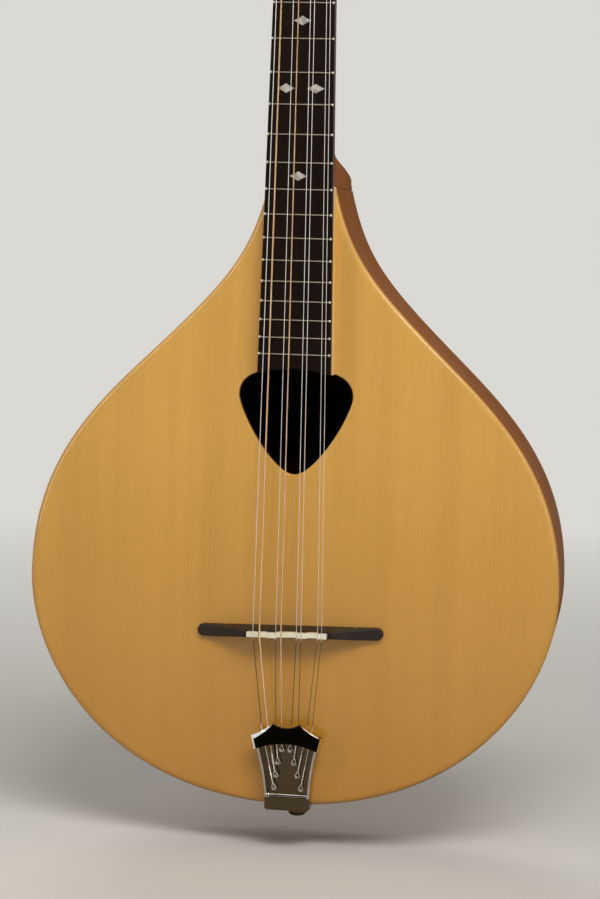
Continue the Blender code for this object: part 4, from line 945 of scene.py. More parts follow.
# Painted reflection: polished nickel painted dark brown, standing in for a dim reflection.
DIM_REFLECTION_NICKEL = Metal("nickel_painted_dim_reflection", (0.10, 0.073, 0.043), roughness=0.03, smudge=0.04)
# Painted highlight and reflection: the crown's chamfer is metal painted near white as a glint, and painted
# dark across its middle as a dark reflection.
CHAMFER = Metal(
    "chamfer_painted_glint_and_reflection", (1.0, 1.0, 0.99), roughness=0.12, smudge=0.02,
    zone_axis=0, painted_reflection_band=(-0.006, 0.011), painted_reflection_colour=(0.05, 0.045, 0.04),
)
GEAR_STEEL = Metal("cut_steel", (0.50, 0.49, 0.47), roughness=0.28, smudge=0.1, scratch=0.15)
GEAR_BRASS = Metal("cut_brass", (0.62, 0.44, 0.20), roughness=0.3, smudge=0.1, scratch=0.15)
FRET_WIRE = Metal("fret_wire", (0.40, 0.37, 0.28), roughness=0.16, smudge=0.08, scratch=0.1)
# Painted highlight: the fret ends are the frets' metal painted near white, standing in for their glints.
BEAD = Metal("fret_ends_painted_highlight", (1.0, 0.97, 0.88), roughness=0.45)
# Painted highlight: the loop ends, the tray's lip and its studs are steel painted brighter than the
# strings.
LOOP_STEEL = Metal("steel_painted_highlight", (0.95, 0.92, 0.86), roughness=0.22)
# Painted reflection: the plain strings are painted dark between the saddle and the crown, standing in for
# their dark reflections there.
STRING_STEEL = Metal(
    "plain_string_steel", (0.84, 0.81, 0.76), roughness=0.3,
    painted_reflection_band=(-0.708, -0.656), painted_reflection_colour=(0.09, 0.065, 0.04),
)
STRING_BRONZE = Metal("bronze_winding", (0.68, 0.44, 0.26), roughness=0.3, winding=0.00032)
BONE = Hard("polished_bone", (0.80, 0.76, 0.62), (0.70, 0.63, 0.45), 240.0, roughness=0.38)
NUT_BONE = Hard("aged_bone", (0.60, 0.55, 0.42), (0.50, 0.43, 0.29), 240.0, roughness=0.38)
PLASTIC = Hard("black_button_plastic", (0.014, 0.013, 0.013), (0.022, 0.020, 0.019), 90.0, 0.22, 0.3)
PEARL = Pearl("mother_of_pearl")


# Shared places


@dataclass
class Layout:
    """The places that several sub-assemblies share, read from the frame."""

    scale_length: float = 0.650
    joint_fret: int = 15
    joint_above_fret: float = 0.0025
    nut_width: float = 0.0296
    board_taper: float = 0.0328
    board_thickness: float = 0.006
    neck_top_y: float = 0.0063
    head_tilt: float = math.radians(13)
    head_start_z: float = 0.0053
    post_x: float = 0.0185
    post_first: float = 0.0325
    post_pitch: float = 0.023
    glue_gap: float = 0.0003
    veneer_thickness: float = 0.0018
    string_drift_tail: float = 0.002
    saddle_x: tuple[float, ...] = (-0.0203, -0.0162, -0.0059, -0.0026, 0.0071, 0.0099, 0.0204, 0.0229)
    nut_x: tuple[float, ...] = (-0.0138, -0.0114, -0.0060, -0.0028, 0.0029, 0.0052, 0.0104, 0.0126)
    crown_x: tuple[float, ...] = (-0.0139, -0.0100, -0.0049, -0.0011, 0.0051, 0.0092, 0.0146, 0.0180)
    string_radii: tuple[float, ...] = (0.00023, 0.00053, 0.0002, 0.0004, 0.0002, 0.0002, 0.00017, 0.00017)

    def __post_init__(self) -> None:
        """Read the body's corners from the frame."""
        top_low, top_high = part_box("top_plate")
        self.face_y = top_low.y
        self.tail_z = top_low.z
        self.half_width = top_high.x
        self.back_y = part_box("back_plate")[1].y
        self.joint_z = self.joint_above_fret - self.fret_drop(self.joint_fret)

    def fret_drop(self, number: int) -> float:
        """How far a fret lies below the nut."""
        return self.scale_length * (1 - 2 ** (-number / 12))

    def board_half(self, drop: float) -> float:
        """Half the fretboard's width at a distance below the nut."""
        return (self.nut_width + self.board_taper * drop) / 2

    def head_frame(self) -> Matrix:
        """The tilted headstock's own frame, its Y pointing back from its face.

        Returns:
            The placement of that frame.
        """
        face_y = self.neck_top_y - self.veneer_thickness * math.cos(self.head_tilt)
        tilt = Matrix.Rotation(-self.head_tilt, 4, "X")
        return Matrix.Translation((0, face_y, self.head_start_z)) @ tilt

    def posts(self) -> list[tuple[float, float]]:
        """Each string's post on the headstock, bass string first.

        Returns:
            The posts as (x, height) in the headstock's frame.
        """
        heights = [self.post_first + self.post_pitch * i for i in range(4)]
        bass = [(-self.post_x, height) for height in heights]
        return bass + [(self.post_x, height) for height in reversed(heights)]


def evenly(points: Outline, count: int) -> Outline:
    """Points at equal steps along a line.

    Args:
        points: The line.
        count: The number of steps.

    Returns:
        The points, one more than the steps.
    """
    lengths = [0.0]
    for near, far in zip(points, points[1:]):
        lengths.append(lengths[-1] + (far - near).length)
    found = []
    place = 0
    for i in range(count + 1):
        goal = lengths[-1] * i / count
        while place < len(points) - 2 and lengths[place + 1] < goal:
            place += 1
        share = (goal - lengths[place]) / (lengths[place + 1] - lengths[place])
        found.append(points[place].lerp(points[place + 1], share))
    return found


# The body


@dataclass
class Body:
    """The soundboard, the back and the two bent sides."""

    layout: Layout
    widest_drop: float = 0.2478
    tail_fullness: float = 0.67
    lower_fullness: float = 0.44
    upper_fullness: float = 0.47
    flank_half: float = 0.1003
    flank_drop: float = 0.1125
    flank_lean: float = math.radians(46)
    flank_low: float = 0.38
    flank_high: float = 0.65
    shoulder_margin: float = 0.0002
    shoulder_lean: float = math.radians(13)
    shoulder_reach: float = 0.42
    hole_drop: float = 0.1128
    hole_half: float = 0.0358
    hole_widest: float = 0.017
    hole_length: float = 0.0662
    hole_crown: float = 0.67
    hole_cheek: float = 0.7
    hole_flank: float = 0.21
    hole_tip: float = 0.38
    hole_margin: float = 0.001
    plate_thickness: float = 0.003
    side_thickness: float = 0.0024
    edge_rounding: float = 0.0025
    top_edge_inward: float = 0.0045
    hole_rounding: float = 0.0009

    def half_outline(self) -> Outline:
        """The treble half of the teardrop, from the tail to the neck.

        Returns:
            The points, as (x, z).
        """
        lay = self.layout
        width = lay.half_width
        tail = Vector((0, lay.tail_z))
        widest = Vector((width, lay.joint_z - self.widest_drop))
        flank = Vector((self.flank_half, lay.joint_z - self.flank_drop))
        shoulder = Vector((lay.board_half(-lay.joint_z) + self.shoulder_margin, lay.joint_z))
        bout, waist, neck = widest.y - tail.y, flank.y - widest.y, shoulder.y - flank.y
        leaning = Vector((-math.sin(self.flank_lean), math.cos(self.flank_lean)))
        upright = Vector((-math.sin(self.shoulder_lean), math.cos(self.shoulder_lean)))
        across, up = Vector((width, 0)), Vector((0, 1))
        points = bezier(tail, across * self.tail_fullness, up * (self.lower_fullness * bout), widest, 60)
        arriving = leaning * (self.flank_low * waist)
        points += bezier(widest, up * (self.upper_fullness * waist), arriving, flank, 40)
        arriving = upright * (self.shoulder_reach * neck)
        points += bezier(flank, leaning * (self.flank_high * neck), arriving, shoulder, 40)
        return points + [shoulder]

    def hole_outline(self) -> Outline:
        """The soundhole, a rounded triangle like a plectrum with its tip down.

        Returns:
            The closed outline, as (x, z).
        """
        top = Vector((0, self.layout.joint_z - self.hole_drop))
        widest = top + Vector((self.hole_half, -self.hole_widest))
        tip = top - Vector((0, self.hole_length))
        across, down = Vector((self.hole_half, 0)), Vector((0, -1))
        upper, lower = self.hole_widest, self.hole_length - self.hole_widest
        half = bezier(top, across * self.hole_crown, down * (self.hole_cheek * upper), widest, 18)
        half += bezier(widest, down * (self.hole_flank * lower), across * -self.hole_tip, tip, 26)
        return mirrored(half + [tip])

    def face(self, name: str, front_y: float, edge_y: float, inward: float) -> Piece:
        """One of the two plates, with its outer edge rounded.

        Args:
            name: The plate's name.
            front_y: The Y of its side towards the player.
            edge_y: The Y of the side that is rounded.
            inward: How far the rounding reaches in from the edge.

        Returns:
            The plate.
        """
        half = self.half_outline()
        joint_z = self.layout.joint_z
        outline = mirrored(half + [Vector((0, joint_z))])
        stretch = inward / self.edge_rounding
        piece = plate(name, outline, front_y, front_y + self.plate_thickness * stretch)
        rounded_y = front_y + (edge_y - front_y) * stretch

        def on_edge(place: Vector) -> bool:
            """Whether a point lies on the edge that is rounded."""
            return abs(place.y - rounded_y) < 1e-5 and place.z < joint_z + 1e-5

        bevel_where(piece, on_edge, inward, 8)
        for vertex in piece.data.vertices:
            vertex.co.y = front_y + (vertex.co.y - front_y) / stretch
        return piece

    def soundboard(self) -> Piece:
        """The spruce top with its soundhole.

        Returns:
            The top.
        """
        face_y = self.layout.face_y
        top = self.face("soundboard", face_y, face_y, self.top_edge_inward)
        cut_away(top, plate("hole", self.hole_outline(), face_y - 0.01, face_y + 0.01))
        margin = self.hole_margin
        high = self.layout.joint_z - self.hole_drop + margin
        low = high - self.hole_length - 2 * margin

        def round_hole(place: Vector) -> bool:
            """Whether a point lies on the soundhole's front edge."""
            inside = abs(place.x) < self.hole_half + margin and low < place.z < high
            return inside and place.y < face_y + 1e-5

        bevel_where(top, round_hole, self.hole_rounding, 3)
        return smooth(top)

    def rim(self, side: Side) -> Piece:
        """One bent side, with UVs along its length and across its depth.

        Args:
            side: Which side.

        Returns:
            The bent side.
        """
        steps = 150
        line = evenly(self.half_outline(), steps)
        front = self.layout.face_y + self.plate_thickness
        back = self.layout.back_y - self.plate_thickness
        deselect_all()
        bpy.ops.mesh.primitive_grid_add(x_subdivisions=steps, y_subdivisions=6, size=2)
        piece = bpy.context.active_object
        piece.name = f"bent_side_{side.name.lower()}"
        for vertex in piece.data.vertices:
            place = line[min(steps, round((vertex.co.x + 1) / 2 * steps))]
            depth = front + (back - front) * (vertex.co.y + 1) / 2
            vertex.co = (place.x, depth, place.y)
        apply_modifier(piece, "SOLIDIFY", thickness=self.side_thickness, offset=1, use_even_offset=True)
        if side is Side.BASS:
            piece.data.transform(Matrix.Scale(-1, 4, (1, 0, 0)))
        turn_faces_out(piece)
        return smooth(piece)

    def build(self) -> None:
        """Model the box and dress what stays of the frame inside it."""
        dressed(self.soundboard(), SPRUCE, Slot.SPRUCE, "top_plate")
        back_y = self.layout.back_y
        back = smooth(self.face("back", back_y - self.plate_thickness, back_y, self.edge_rounding))
        dressed(back, BACK_MAHOGANY, Slot.MAHOGANY, "back_plate")
        inside = ["top_x_brace", "top_shoulder_brace"]
        inside += [f"back_brace_{place}" for place in ("upper", "middle", "lower")]
        for side in Side:
            which = side.name.lower()
            dressed(self.rim(side), BENT_MAHOGANY, Slot.MAHOGANY, f"side_{which}")
            inside += [f"top_lining_{which}", f"back_lining_{which}"]
        for node in inside:
            dress_node(node, BARE_SPRUCE)
        for node in ("neck_block", "tail_block"):
            dress_node(node, MAHOGANY)


# The neck


@dataclass
class Neck:
    """The neck with its heel, the headstock, its veneer and the truss rod's parts."""

    layout: Layout
    slim_at_nut: float = 0.0215
    slim_growth: float = 0.006
    roundness: float = 2.2
    heel_squareness: float = 34.0
    heel_zone: float = 0.024
    shaft_end: float = 0.004
    heel_start: float = 0.022
    heel_end: float = 0.006
    heel_short: float = 0.0033
    root: tuple[float, float] = (0.0145, 0.0002)
    shoulder: tuple[float, float] = (0.0285, 0.0145)
    corner: tuple[float, float] = (0.0315, 0.1188)
    tip_height: float = 0.132
    wood_back: float = 0.0158
    volute_length: float = 0.020
    volute_half: float = 0.0146
    volute_front: float = 0.004
    volute_back: float = 0.0168
    hole_radius: float = 0.0033
    hole_clearance: float = 0.002
    pocket_half: float = 0.004
    pocket_y: float = 0.006
    pocket_start: float = -0.006
    pocket_end: float = 0.018
    wood_rounding: float = 0.0009
    veneer_rounding: float = 0.0003

    def back_at(self, z: float) -> float:
        """The Y of the neck's back at a height.

        Args:
            z: The height.

        Returns:
            The Y.
        """
        slim = self.slim_at_nut + self.slim_growth * max(-z, 0)
        deep = self.layout.back_y - self.heel_short
        start = self.layout.joint_z + self.heel_start
        return slim + (deep - slim) * eased((start - z) / (self.heel_start - self.heel_end))

    def ring(self, half: float, top: float, back: float, squareness: float, z: float) -> Ring:
        """One section of the neck: a rounded back under a flat top.

        Args:
            half: Half the width.
            top: The Y of the flat top.
            back: The Y of the back.
            squareness: The exponent of the rounding; 2 is an ellipse.
            z: The height.

        Returns:
            The section's points.
        """
        points = []
        for i in range(41):
            angle = math.pi * i / 40
            across = math.cos(angle)
            x = half * math.copysign(abs(across) ** (2 / squareness), across)
            y = top + (back - top) * max(math.sin(angle), 0) ** (2 / squareness)
            points.append(Vector((x, y, z)))
        return points + [Vector((x, top, z)) for x in between(-half, half, 8)[1:-1]]

    def shaft(self) -> Piece:
        """The neck from the body to a little way up the headstock.

        Returns:
            The closed shape.
        """
        lay = self.layout
        foot = lay.joint_z + lay.glue_gap
        heights = between(foot, foot + self.heel_zone, 30)
        heights += between(heights[-1], self.shaft_end, 24)[1:]
        rings = []
        for z in heights:
            back = self.back_at(z)
            swell = (back - self.slim_at_nut) / (lay.back_y - self.slim_at_nut)
            half = lay.board_half(max(-z, 0))
            squareness = self.roundness + self.heel_squareness * max(swell, 0) ** 2
            rings.append(self.ring(half, lay.neck_top_y, back, squareness, z))
        frame = lay.head_frame()
        for share in between(0, 1, 6)[1:]:
            fade, height = share**1.5, self.volute_length * share
            half, back = self.volute_half - 0.003 * fade, self.volute_back - 0.002 * fade
            local = self.ring(half, self.volute_front, back, self.roundness, height)
            rings.append([frame @ point for point in local])
        return skinned("neck_shaft", rings)

    def head_outline(self) -> Outline:
        """The headstock's outline in its own frame.

        Returns:
            The closed outline, as (x, z).
        """
        root, shoulder, corner = Vector(self.root), Vector(self.shoulder), Vector(self.corner)
        tip = Vector((0, self.tip_height))
        flare, rise = shoulder.x - root.x, tip.y - corner.y
        half = [Vector((0, root.y))]
        half += bezier(root, Vector((0, 0.006)), Vector((flare / 2, 0.004)), shoulder, 12)
        half += [shoulder.lerp(corner, share) for share in between(0, 1, 6)[:-1]]
        half += bezier(corner, Vector((0, 0.8 * rise)), Vector((-0.6 * corner.x, 0)), tip, 16)
        return mirrored(half + [tip])

    def head_slab(self, name: str, front_y: float, back_y: float, rounding: float) -> Piece:
        """A layer of the headstock with its holes, in the headstock's frame.

        Args:
            name: The layer's name.
            front_y: Its front in the headstock's frame.
            back_y: Its back in the headstock's frame.
            rounding: The width of its rounded edges.

        Returns:
            The layer.
        """
        slab = plate(name, self.head_outline(), front_y, back_y)
        round_edges(slab, rounding, 3)
        holes = []
        for x, height in self.layout.posts():
            low, high = front_y - self.hole_clearance, back_y + self.hole_clearance
            ends = [Vector((x, y, height)) for y in (low, high)]
            holes.append(rod("post_hole", *ends, self.hole_radius))
        ends = [Vector((0, self.pocket_y, z)) for z in (self.pocket_start, self.pocket_end)]
        holes.append(rod("pocket", *ends, self.pocket_half))
        cut_away(slab, joined("holes", holes))
        slab.data.transform(self.layout.head_frame())
        return slab

    def build(self) -> None:
        """Model the neck and its trim."""
        thickness = self.layout.veneer_thickness
        wood = self.head_slab("neck_and_head", thickness, self.wood_back, self.wood_rounding)
        shaft = self.shaft()
        apply_modifier(wood, "BOOLEAN", operation="UNION", solver="EXACT", object=shaft)
        bpy.data.objects.remove(shaft)
        dressed(smooth(wood, 32), MAHOGANY, Slot.MAHOGANY, "neck")
        veneer = self.head_slab("head_veneer", 0.0, thickness, self.veneer_rounding)
        dressed(smooth(veneer), EBONY, Slot.EBONY, "headstock_veneer")
        dressed(refined_node("heel_cap", "heel_cap_trim", 0.0006), MAHOGANY, Slot.MAHOGANY, "heel_cap")
        cover = refined_node("truss_rod_cover", "truss_cover", 0.0004)
        dressed(cover, PLASTIC, Slot.PLASTIC, "truss_rod_cover")
        dress_node("truss_rod", GEAR_STEEL)


# The fingerboard


@dataclass
class Fingerboard:
    """The fretboard with its frets, markers and riser, and the nut."""

    layout: Layout
    fret_count: int = 23
    past_last_fret: float = 0.0124
    scoop: float = 0.0032
    crown_height: float = 0.001
    crown_width: float = 0.0012
    fret_margin: float = 0.0004
    crown_foot: float = 0.0003
    bead_radius: float = 0.00078
    bead_proud: float = 0.0002
    marker_half_width: float = 0.0055
    marker_half_height: float = 0.0029
    marker_hollow: float = 0.05
    marker_proud: float = 0.00004
    marker_depth: float = 0.0006
    single_markers: tuple[int, ...] = (3, 5, 7, 10, 15)
    double_marker: int = 12
    double_places: tuple[float, float] = (-0.0095, 0.0089)
    marker_drift: float = -0.0005
    nut_slot_y: float = 0.0019
    nut_slot_play: float = 0.00015
    riser_sink: float = 0.0024
    riser_flare_top: float = 0.0005
    riser_flare_end: float = 0.0017

    def end_z(self) -> float:
        """The height of the fretboard's lower corners."""
        return -self.layout.fret_drop(self.fret_count) - self.past_last_fret

    def board_outline(self, top_z: float, inset: float = 0.0) -> Outline:
        """A tapered strip down to the scooped end.

        Args:
            top_z: The height of its upper end.
            inset: How far its edges lie inside the fretboard's.

        Returns:
            The closed outline, as (x, z).
        """
        low = self.end_z()
        half_low = self.layout.board_half(-low) - inset
        points = [Vector((0, top_z)), Vector((self.layout.board_half(-top_z) - inset, top_z))]
        for across in between(1, 0, 16):
            points.append(Vector((half_low * across, low + self.scoop * (1 - across * across))))
        return mirrored(points)

    def fret(self, number: int) -> list[Piece]:
        """One fret: a round-topped bar with a bead at each end.

        Args:
            number: The fret.

        Returns:
            The bar and its two beads.
        """
        z = -self.layout.fret_drop(number)
        half = self.layout.board_half(-z) - self.fret_margin
        section = []
        for i in range(16):
            angle = 2 * math.pi * i / 16
            up = self.crown_height if math.sin(angle) > 0 else self.crown_foot
            section.append((-up * math.sin(angle), z + self.crown_width / 2 * math.cos(angle)))
        shapes = [skinned(f"fret_{number}", [[Vector((x, *at)) for at in section] for x in (-half, half)])]
        for side in Side:
            bead = Vector((side.value * (half - self.bead_radius / 2), -self.bead_proud, z))
            deselect_all()
            bpy.ops.mesh.primitive_uv_sphere_add(
                segments=14, ring_count=8, radius=self.bead_radius, location=bead
            )
            bpy.ops.object.transform_apply(location=True)
            shapes.append(bpy.context.active_object)
        return shapes

    def marker(self, x: float, z: float) -> Piece:
        """One diamond of mother-of-pearl with slightly hollow sides.

        Args:
            x: Its middle across the board.
            z: Its middle's height.

        Returns:
            The diamond.
        """
        wide, high = self.marker_half_width, self.marker_half_height
        corners = [Vector((wide, 0)), Vector((0, high)), Vector((-wide, 0)), Vector((0, -high))]
        points = []
        for near, far in zip(corners, corners[1:] + corners[:1]):
            for share in between(0, 1, 8)[:-1]:
                hollow = 1 - self.marker_hollow * bowed(share)
                points.append(near.lerp(far, share) * hollow + Vector((x, z)))
        return plate("pearl_diamond", points, -self.marker_proud, self.marker_depth)

    def build(self) -> None:
        """Model the board and everything on it."""
        lay = self.layout
        board = plate("board", self.board_outline(-lay.glue_gap), 0.0, lay.board_thickness)
        round_edges(board, 0.0005, 2)
        dressed(smooth(board), EBONY, Slot.EBONY, "fretboard")
        bars, beads = [], []
        for number in range(1, self.fret_count + 1):
            bar, *ends = self.fret(number)
            bars.append(bar)
            beads += ends
        dressed(smooth(joined("frets", bars), 60), FRET_WIRE, Slot.STEEL)
        # The fret ends painted near white as a painted highlight.
        dressed(smooth(joined("fret_ends", beads), 60), BEAD, Slot.STEEL)
        places = [(self.marker_drift, number) for number in self.single_markers]
        diamonds = []
        for x, number in places + [(x, self.double_marker) for x in self.double_places]:
            diamonds.append(self.marker(x, -(lay.fret_drop(number) + lay.fret_drop(number - 1)) / 2))
        dressed(joined("markers", diamonds), PEARL, Slot.BONE)
        foot_y = lay.face_y + self.riser_sink
        riser = plate("riser", self.board_outline(lay.joint_z, 0.0001), lay.board_thickness, foot_y)
        # The flared foot widens the pale strip, standing in for the riser's reflection in the lacquered
        # top.
        for vertex in riser.data.vertices:
            if vertex.co.y > foot_y - 1e-5:
                share = (lay.joint_z - vertex.co.z) / (lay.joint_z - self.end_z())
                flare = self.riser_flare_top + (self.riser_flare_end - self.riser_flare_top) * share
                vertex.co.x *= 1 + flare / lay.board_half(-vertex.co.z)
        round_edges(riser, 0.0003, 2)
        dressed(smooth(riser), RISER, Slot.BARE_SPRUCE, "fretboard_riser")
        nut = refined_node("nut", "nut_bone", 0.0003)
        slots = []
        for x, radius in zip(lay.nut_x, lay.string_radii):
            ends = [Vector((x, -self.nut_slot_y, z)) for z in (-0.003, 0.009)]
            slots.append(rod("nut_slot", *ends, radius + self.nut_slot_play, 12))
        cut_away(nut, joined("nut_slots", slots))
        dressed(smooth(nut), NUT_BONE, Slot.BONE, "nut")


# The bridge


@dataclass
class Bridge:
    """The floating bridge and its compensated saddle."""

    layout: Layout
    centre_x: float = 0.0007
    centre_z: float = -0.652
    slant: float = math.radians(1.3)
    half_length: float = 0.0588
    width: float = 0.008
    top_width: float = 0.0046
    crest_half: float = 0.0285
    notch_x: float = 0.0412
    notch_half: float = 0.0016
    notch_depth: float = 0.0005
    height: float = 0.013
    wing_height: float = 0.0078
    tip_height: float = 0.0034
    saddle_half: float = 0.0256
    saddle_thickness: float = 0.0038
    saddle_rounding: float = 0.0003
    slot_play: float = 0.0003
    slot_depth: float = 0.004
    saddle_top: float = -0.005
    string_notch_play: float = 0.00012
    steps: tuple[float, ...] = (0.0, 0.0, -0.00035, 0.0002, 0.00035, -0.0001, 0.0003, -0.0002)

    def place(self) -> Matrix:
        """The placement of the bridge's own frame, its X along its length."""
        shift = Matrix.Translation((self.centre_x, 0, self.centre_z))
        return shift @ Matrix.Rotation(-self.slant, 4, "Y")

    def block(self) -> Piece:
        """The ebony bridge, high in the middle and with low rounded wings.

        Returns:
            The block in its own frame.
        """
        half_width = self.width / 2
        start = self.half_length - half_width
        stations = [start + half_width * math.sin(math.pi / 2 * i / 10) for i in range(10, -1, -1)]
        stations += between(start, self.crest_half, 30)[1:] + [0.02, 0.01]
        rings = []
        for x in [-x for x in stations] + [0.0] + stations[::-1]:
            reach = abs(x)
            fall = math.sin(clamped((reach - self.notch_x) / (start - self.notch_x)) * math.pi / 2)
            wing = self.wing_height - (self.wing_height - self.tip_height) * fall
            rise = eased((self.notch_x - reach) / (self.notch_x - self.crest_half))
            past = max(0.0, reach - start) / half_width
            high = (wing + (self.height - wing) * rise) * max(1 - 0.45 * past**3, 0.5)
            low_half = half_width * max(math.sqrt(max(0.0, 1 - past * past)), 0.02)
            lean = (self.width - self.top_width) / 2 * (high / self.height) ** 1.6
            ring = self.section(x, high, low_half, max(low_half - lean, 0.3 * low_half))
            nick = self.notch_depth * eased(1 - abs(reach - self.notch_x) / self.notch_half)
            for point in ring:
                if point.z > 0:
                    point.z -= nick
            rings.append(ring)
        return skinned("bridge_block", rings)

    def section(self, x: float, high: float, low_half: float, top_half: float) -> Ring:
        """A section of the bridge with rounded upper corners.

        Args:
            x: Where along the bridge.
            high: Its height there.
            low_half: Half its width at the foot.
            top_half: Half its width at the top.

        Returns:
            The section's points.
        """
        base = self.layout.face_y
        rounding = min(0.0009, 0.6 * top_half, 0.4 * high)
        points = [Vector((x, base, low_half * (1 - i / 2))) for i in range(5)]
        for sign in (-1, 1):
            for i in range(6):
                angle = math.pi / 2 * (i / 5 if sign < 0 else 1 - i / 5)
                z = sign * (top_half - rounding + rounding * math.cos(angle))
                points.append(Vector((x, base - high + rounding * (1 - math.sin(angle)), z)))
        return points

    def string_places(self) -> list[float]:
        """Where the strings cross the saddle, as X in the bridge's frame."""
        return [x - self.centre_x for x in self.layout.saddle_x]

    def saddle(self) -> Piece:
        """The bone saddle, filed in steps so that each string sounds true.

        Returns:
            The saddle in its own frame.
        """
        half, thick = self.saddle_half, self.saddle_thickness / 2 - self.saddle_rounding
        edges = between(-half, half, 8)
        upper, lower = [], []
        for left, right, shift in zip(edges, edges[1:], self.steps):
            for x in (left + 0.0005, right - 0.0005):
                upper.append(Vector((x, shift + thick)))
                lower.append(Vector((x, shift - thick)))
        floor = self.layout.face_y - self.height + 0.003
        piece = plate("saddle_bone", lower + upper[::-1], self.saddle_top - 0.0002, floor)
        round_edges(piece, self.saddle_rounding, 2, 50)
        notches = []
        for x, radius in zip(self.string_places(), self.layout.string_radii):
            ends = [Vector((x, self.saddle_top, z)) for z in (-0.004, 0.004)]
            notches.append(rod("notch", *ends, radius + self.string_notch_play, 12))
        return cut_away(piece, joined("notches", notches))

    def build(self) -> None:
        """Model the bridge and its saddle."""
        block, saddle = self.block(), self.saddle()
        floor = self.layout.face_y - self.height + self.slot_depth
        half, thick = self.saddle_half + self.slot_play, self.saddle_thickness / 2 + 0.0002
        cut_away(block, plate("slot", symmetric([(half, -thick), (half, thick)]), floor - 0.02, floor))
        for piece in (block, saddle):
            piece.data.transform(self.place())
        dressed(smooth(block, 40), BRIDGE_EBONY, Slot.EBONY, "bridge")
        dressed(smooth(saddle), BONE, Slot.BONE, "saddle")


# The tailpiece


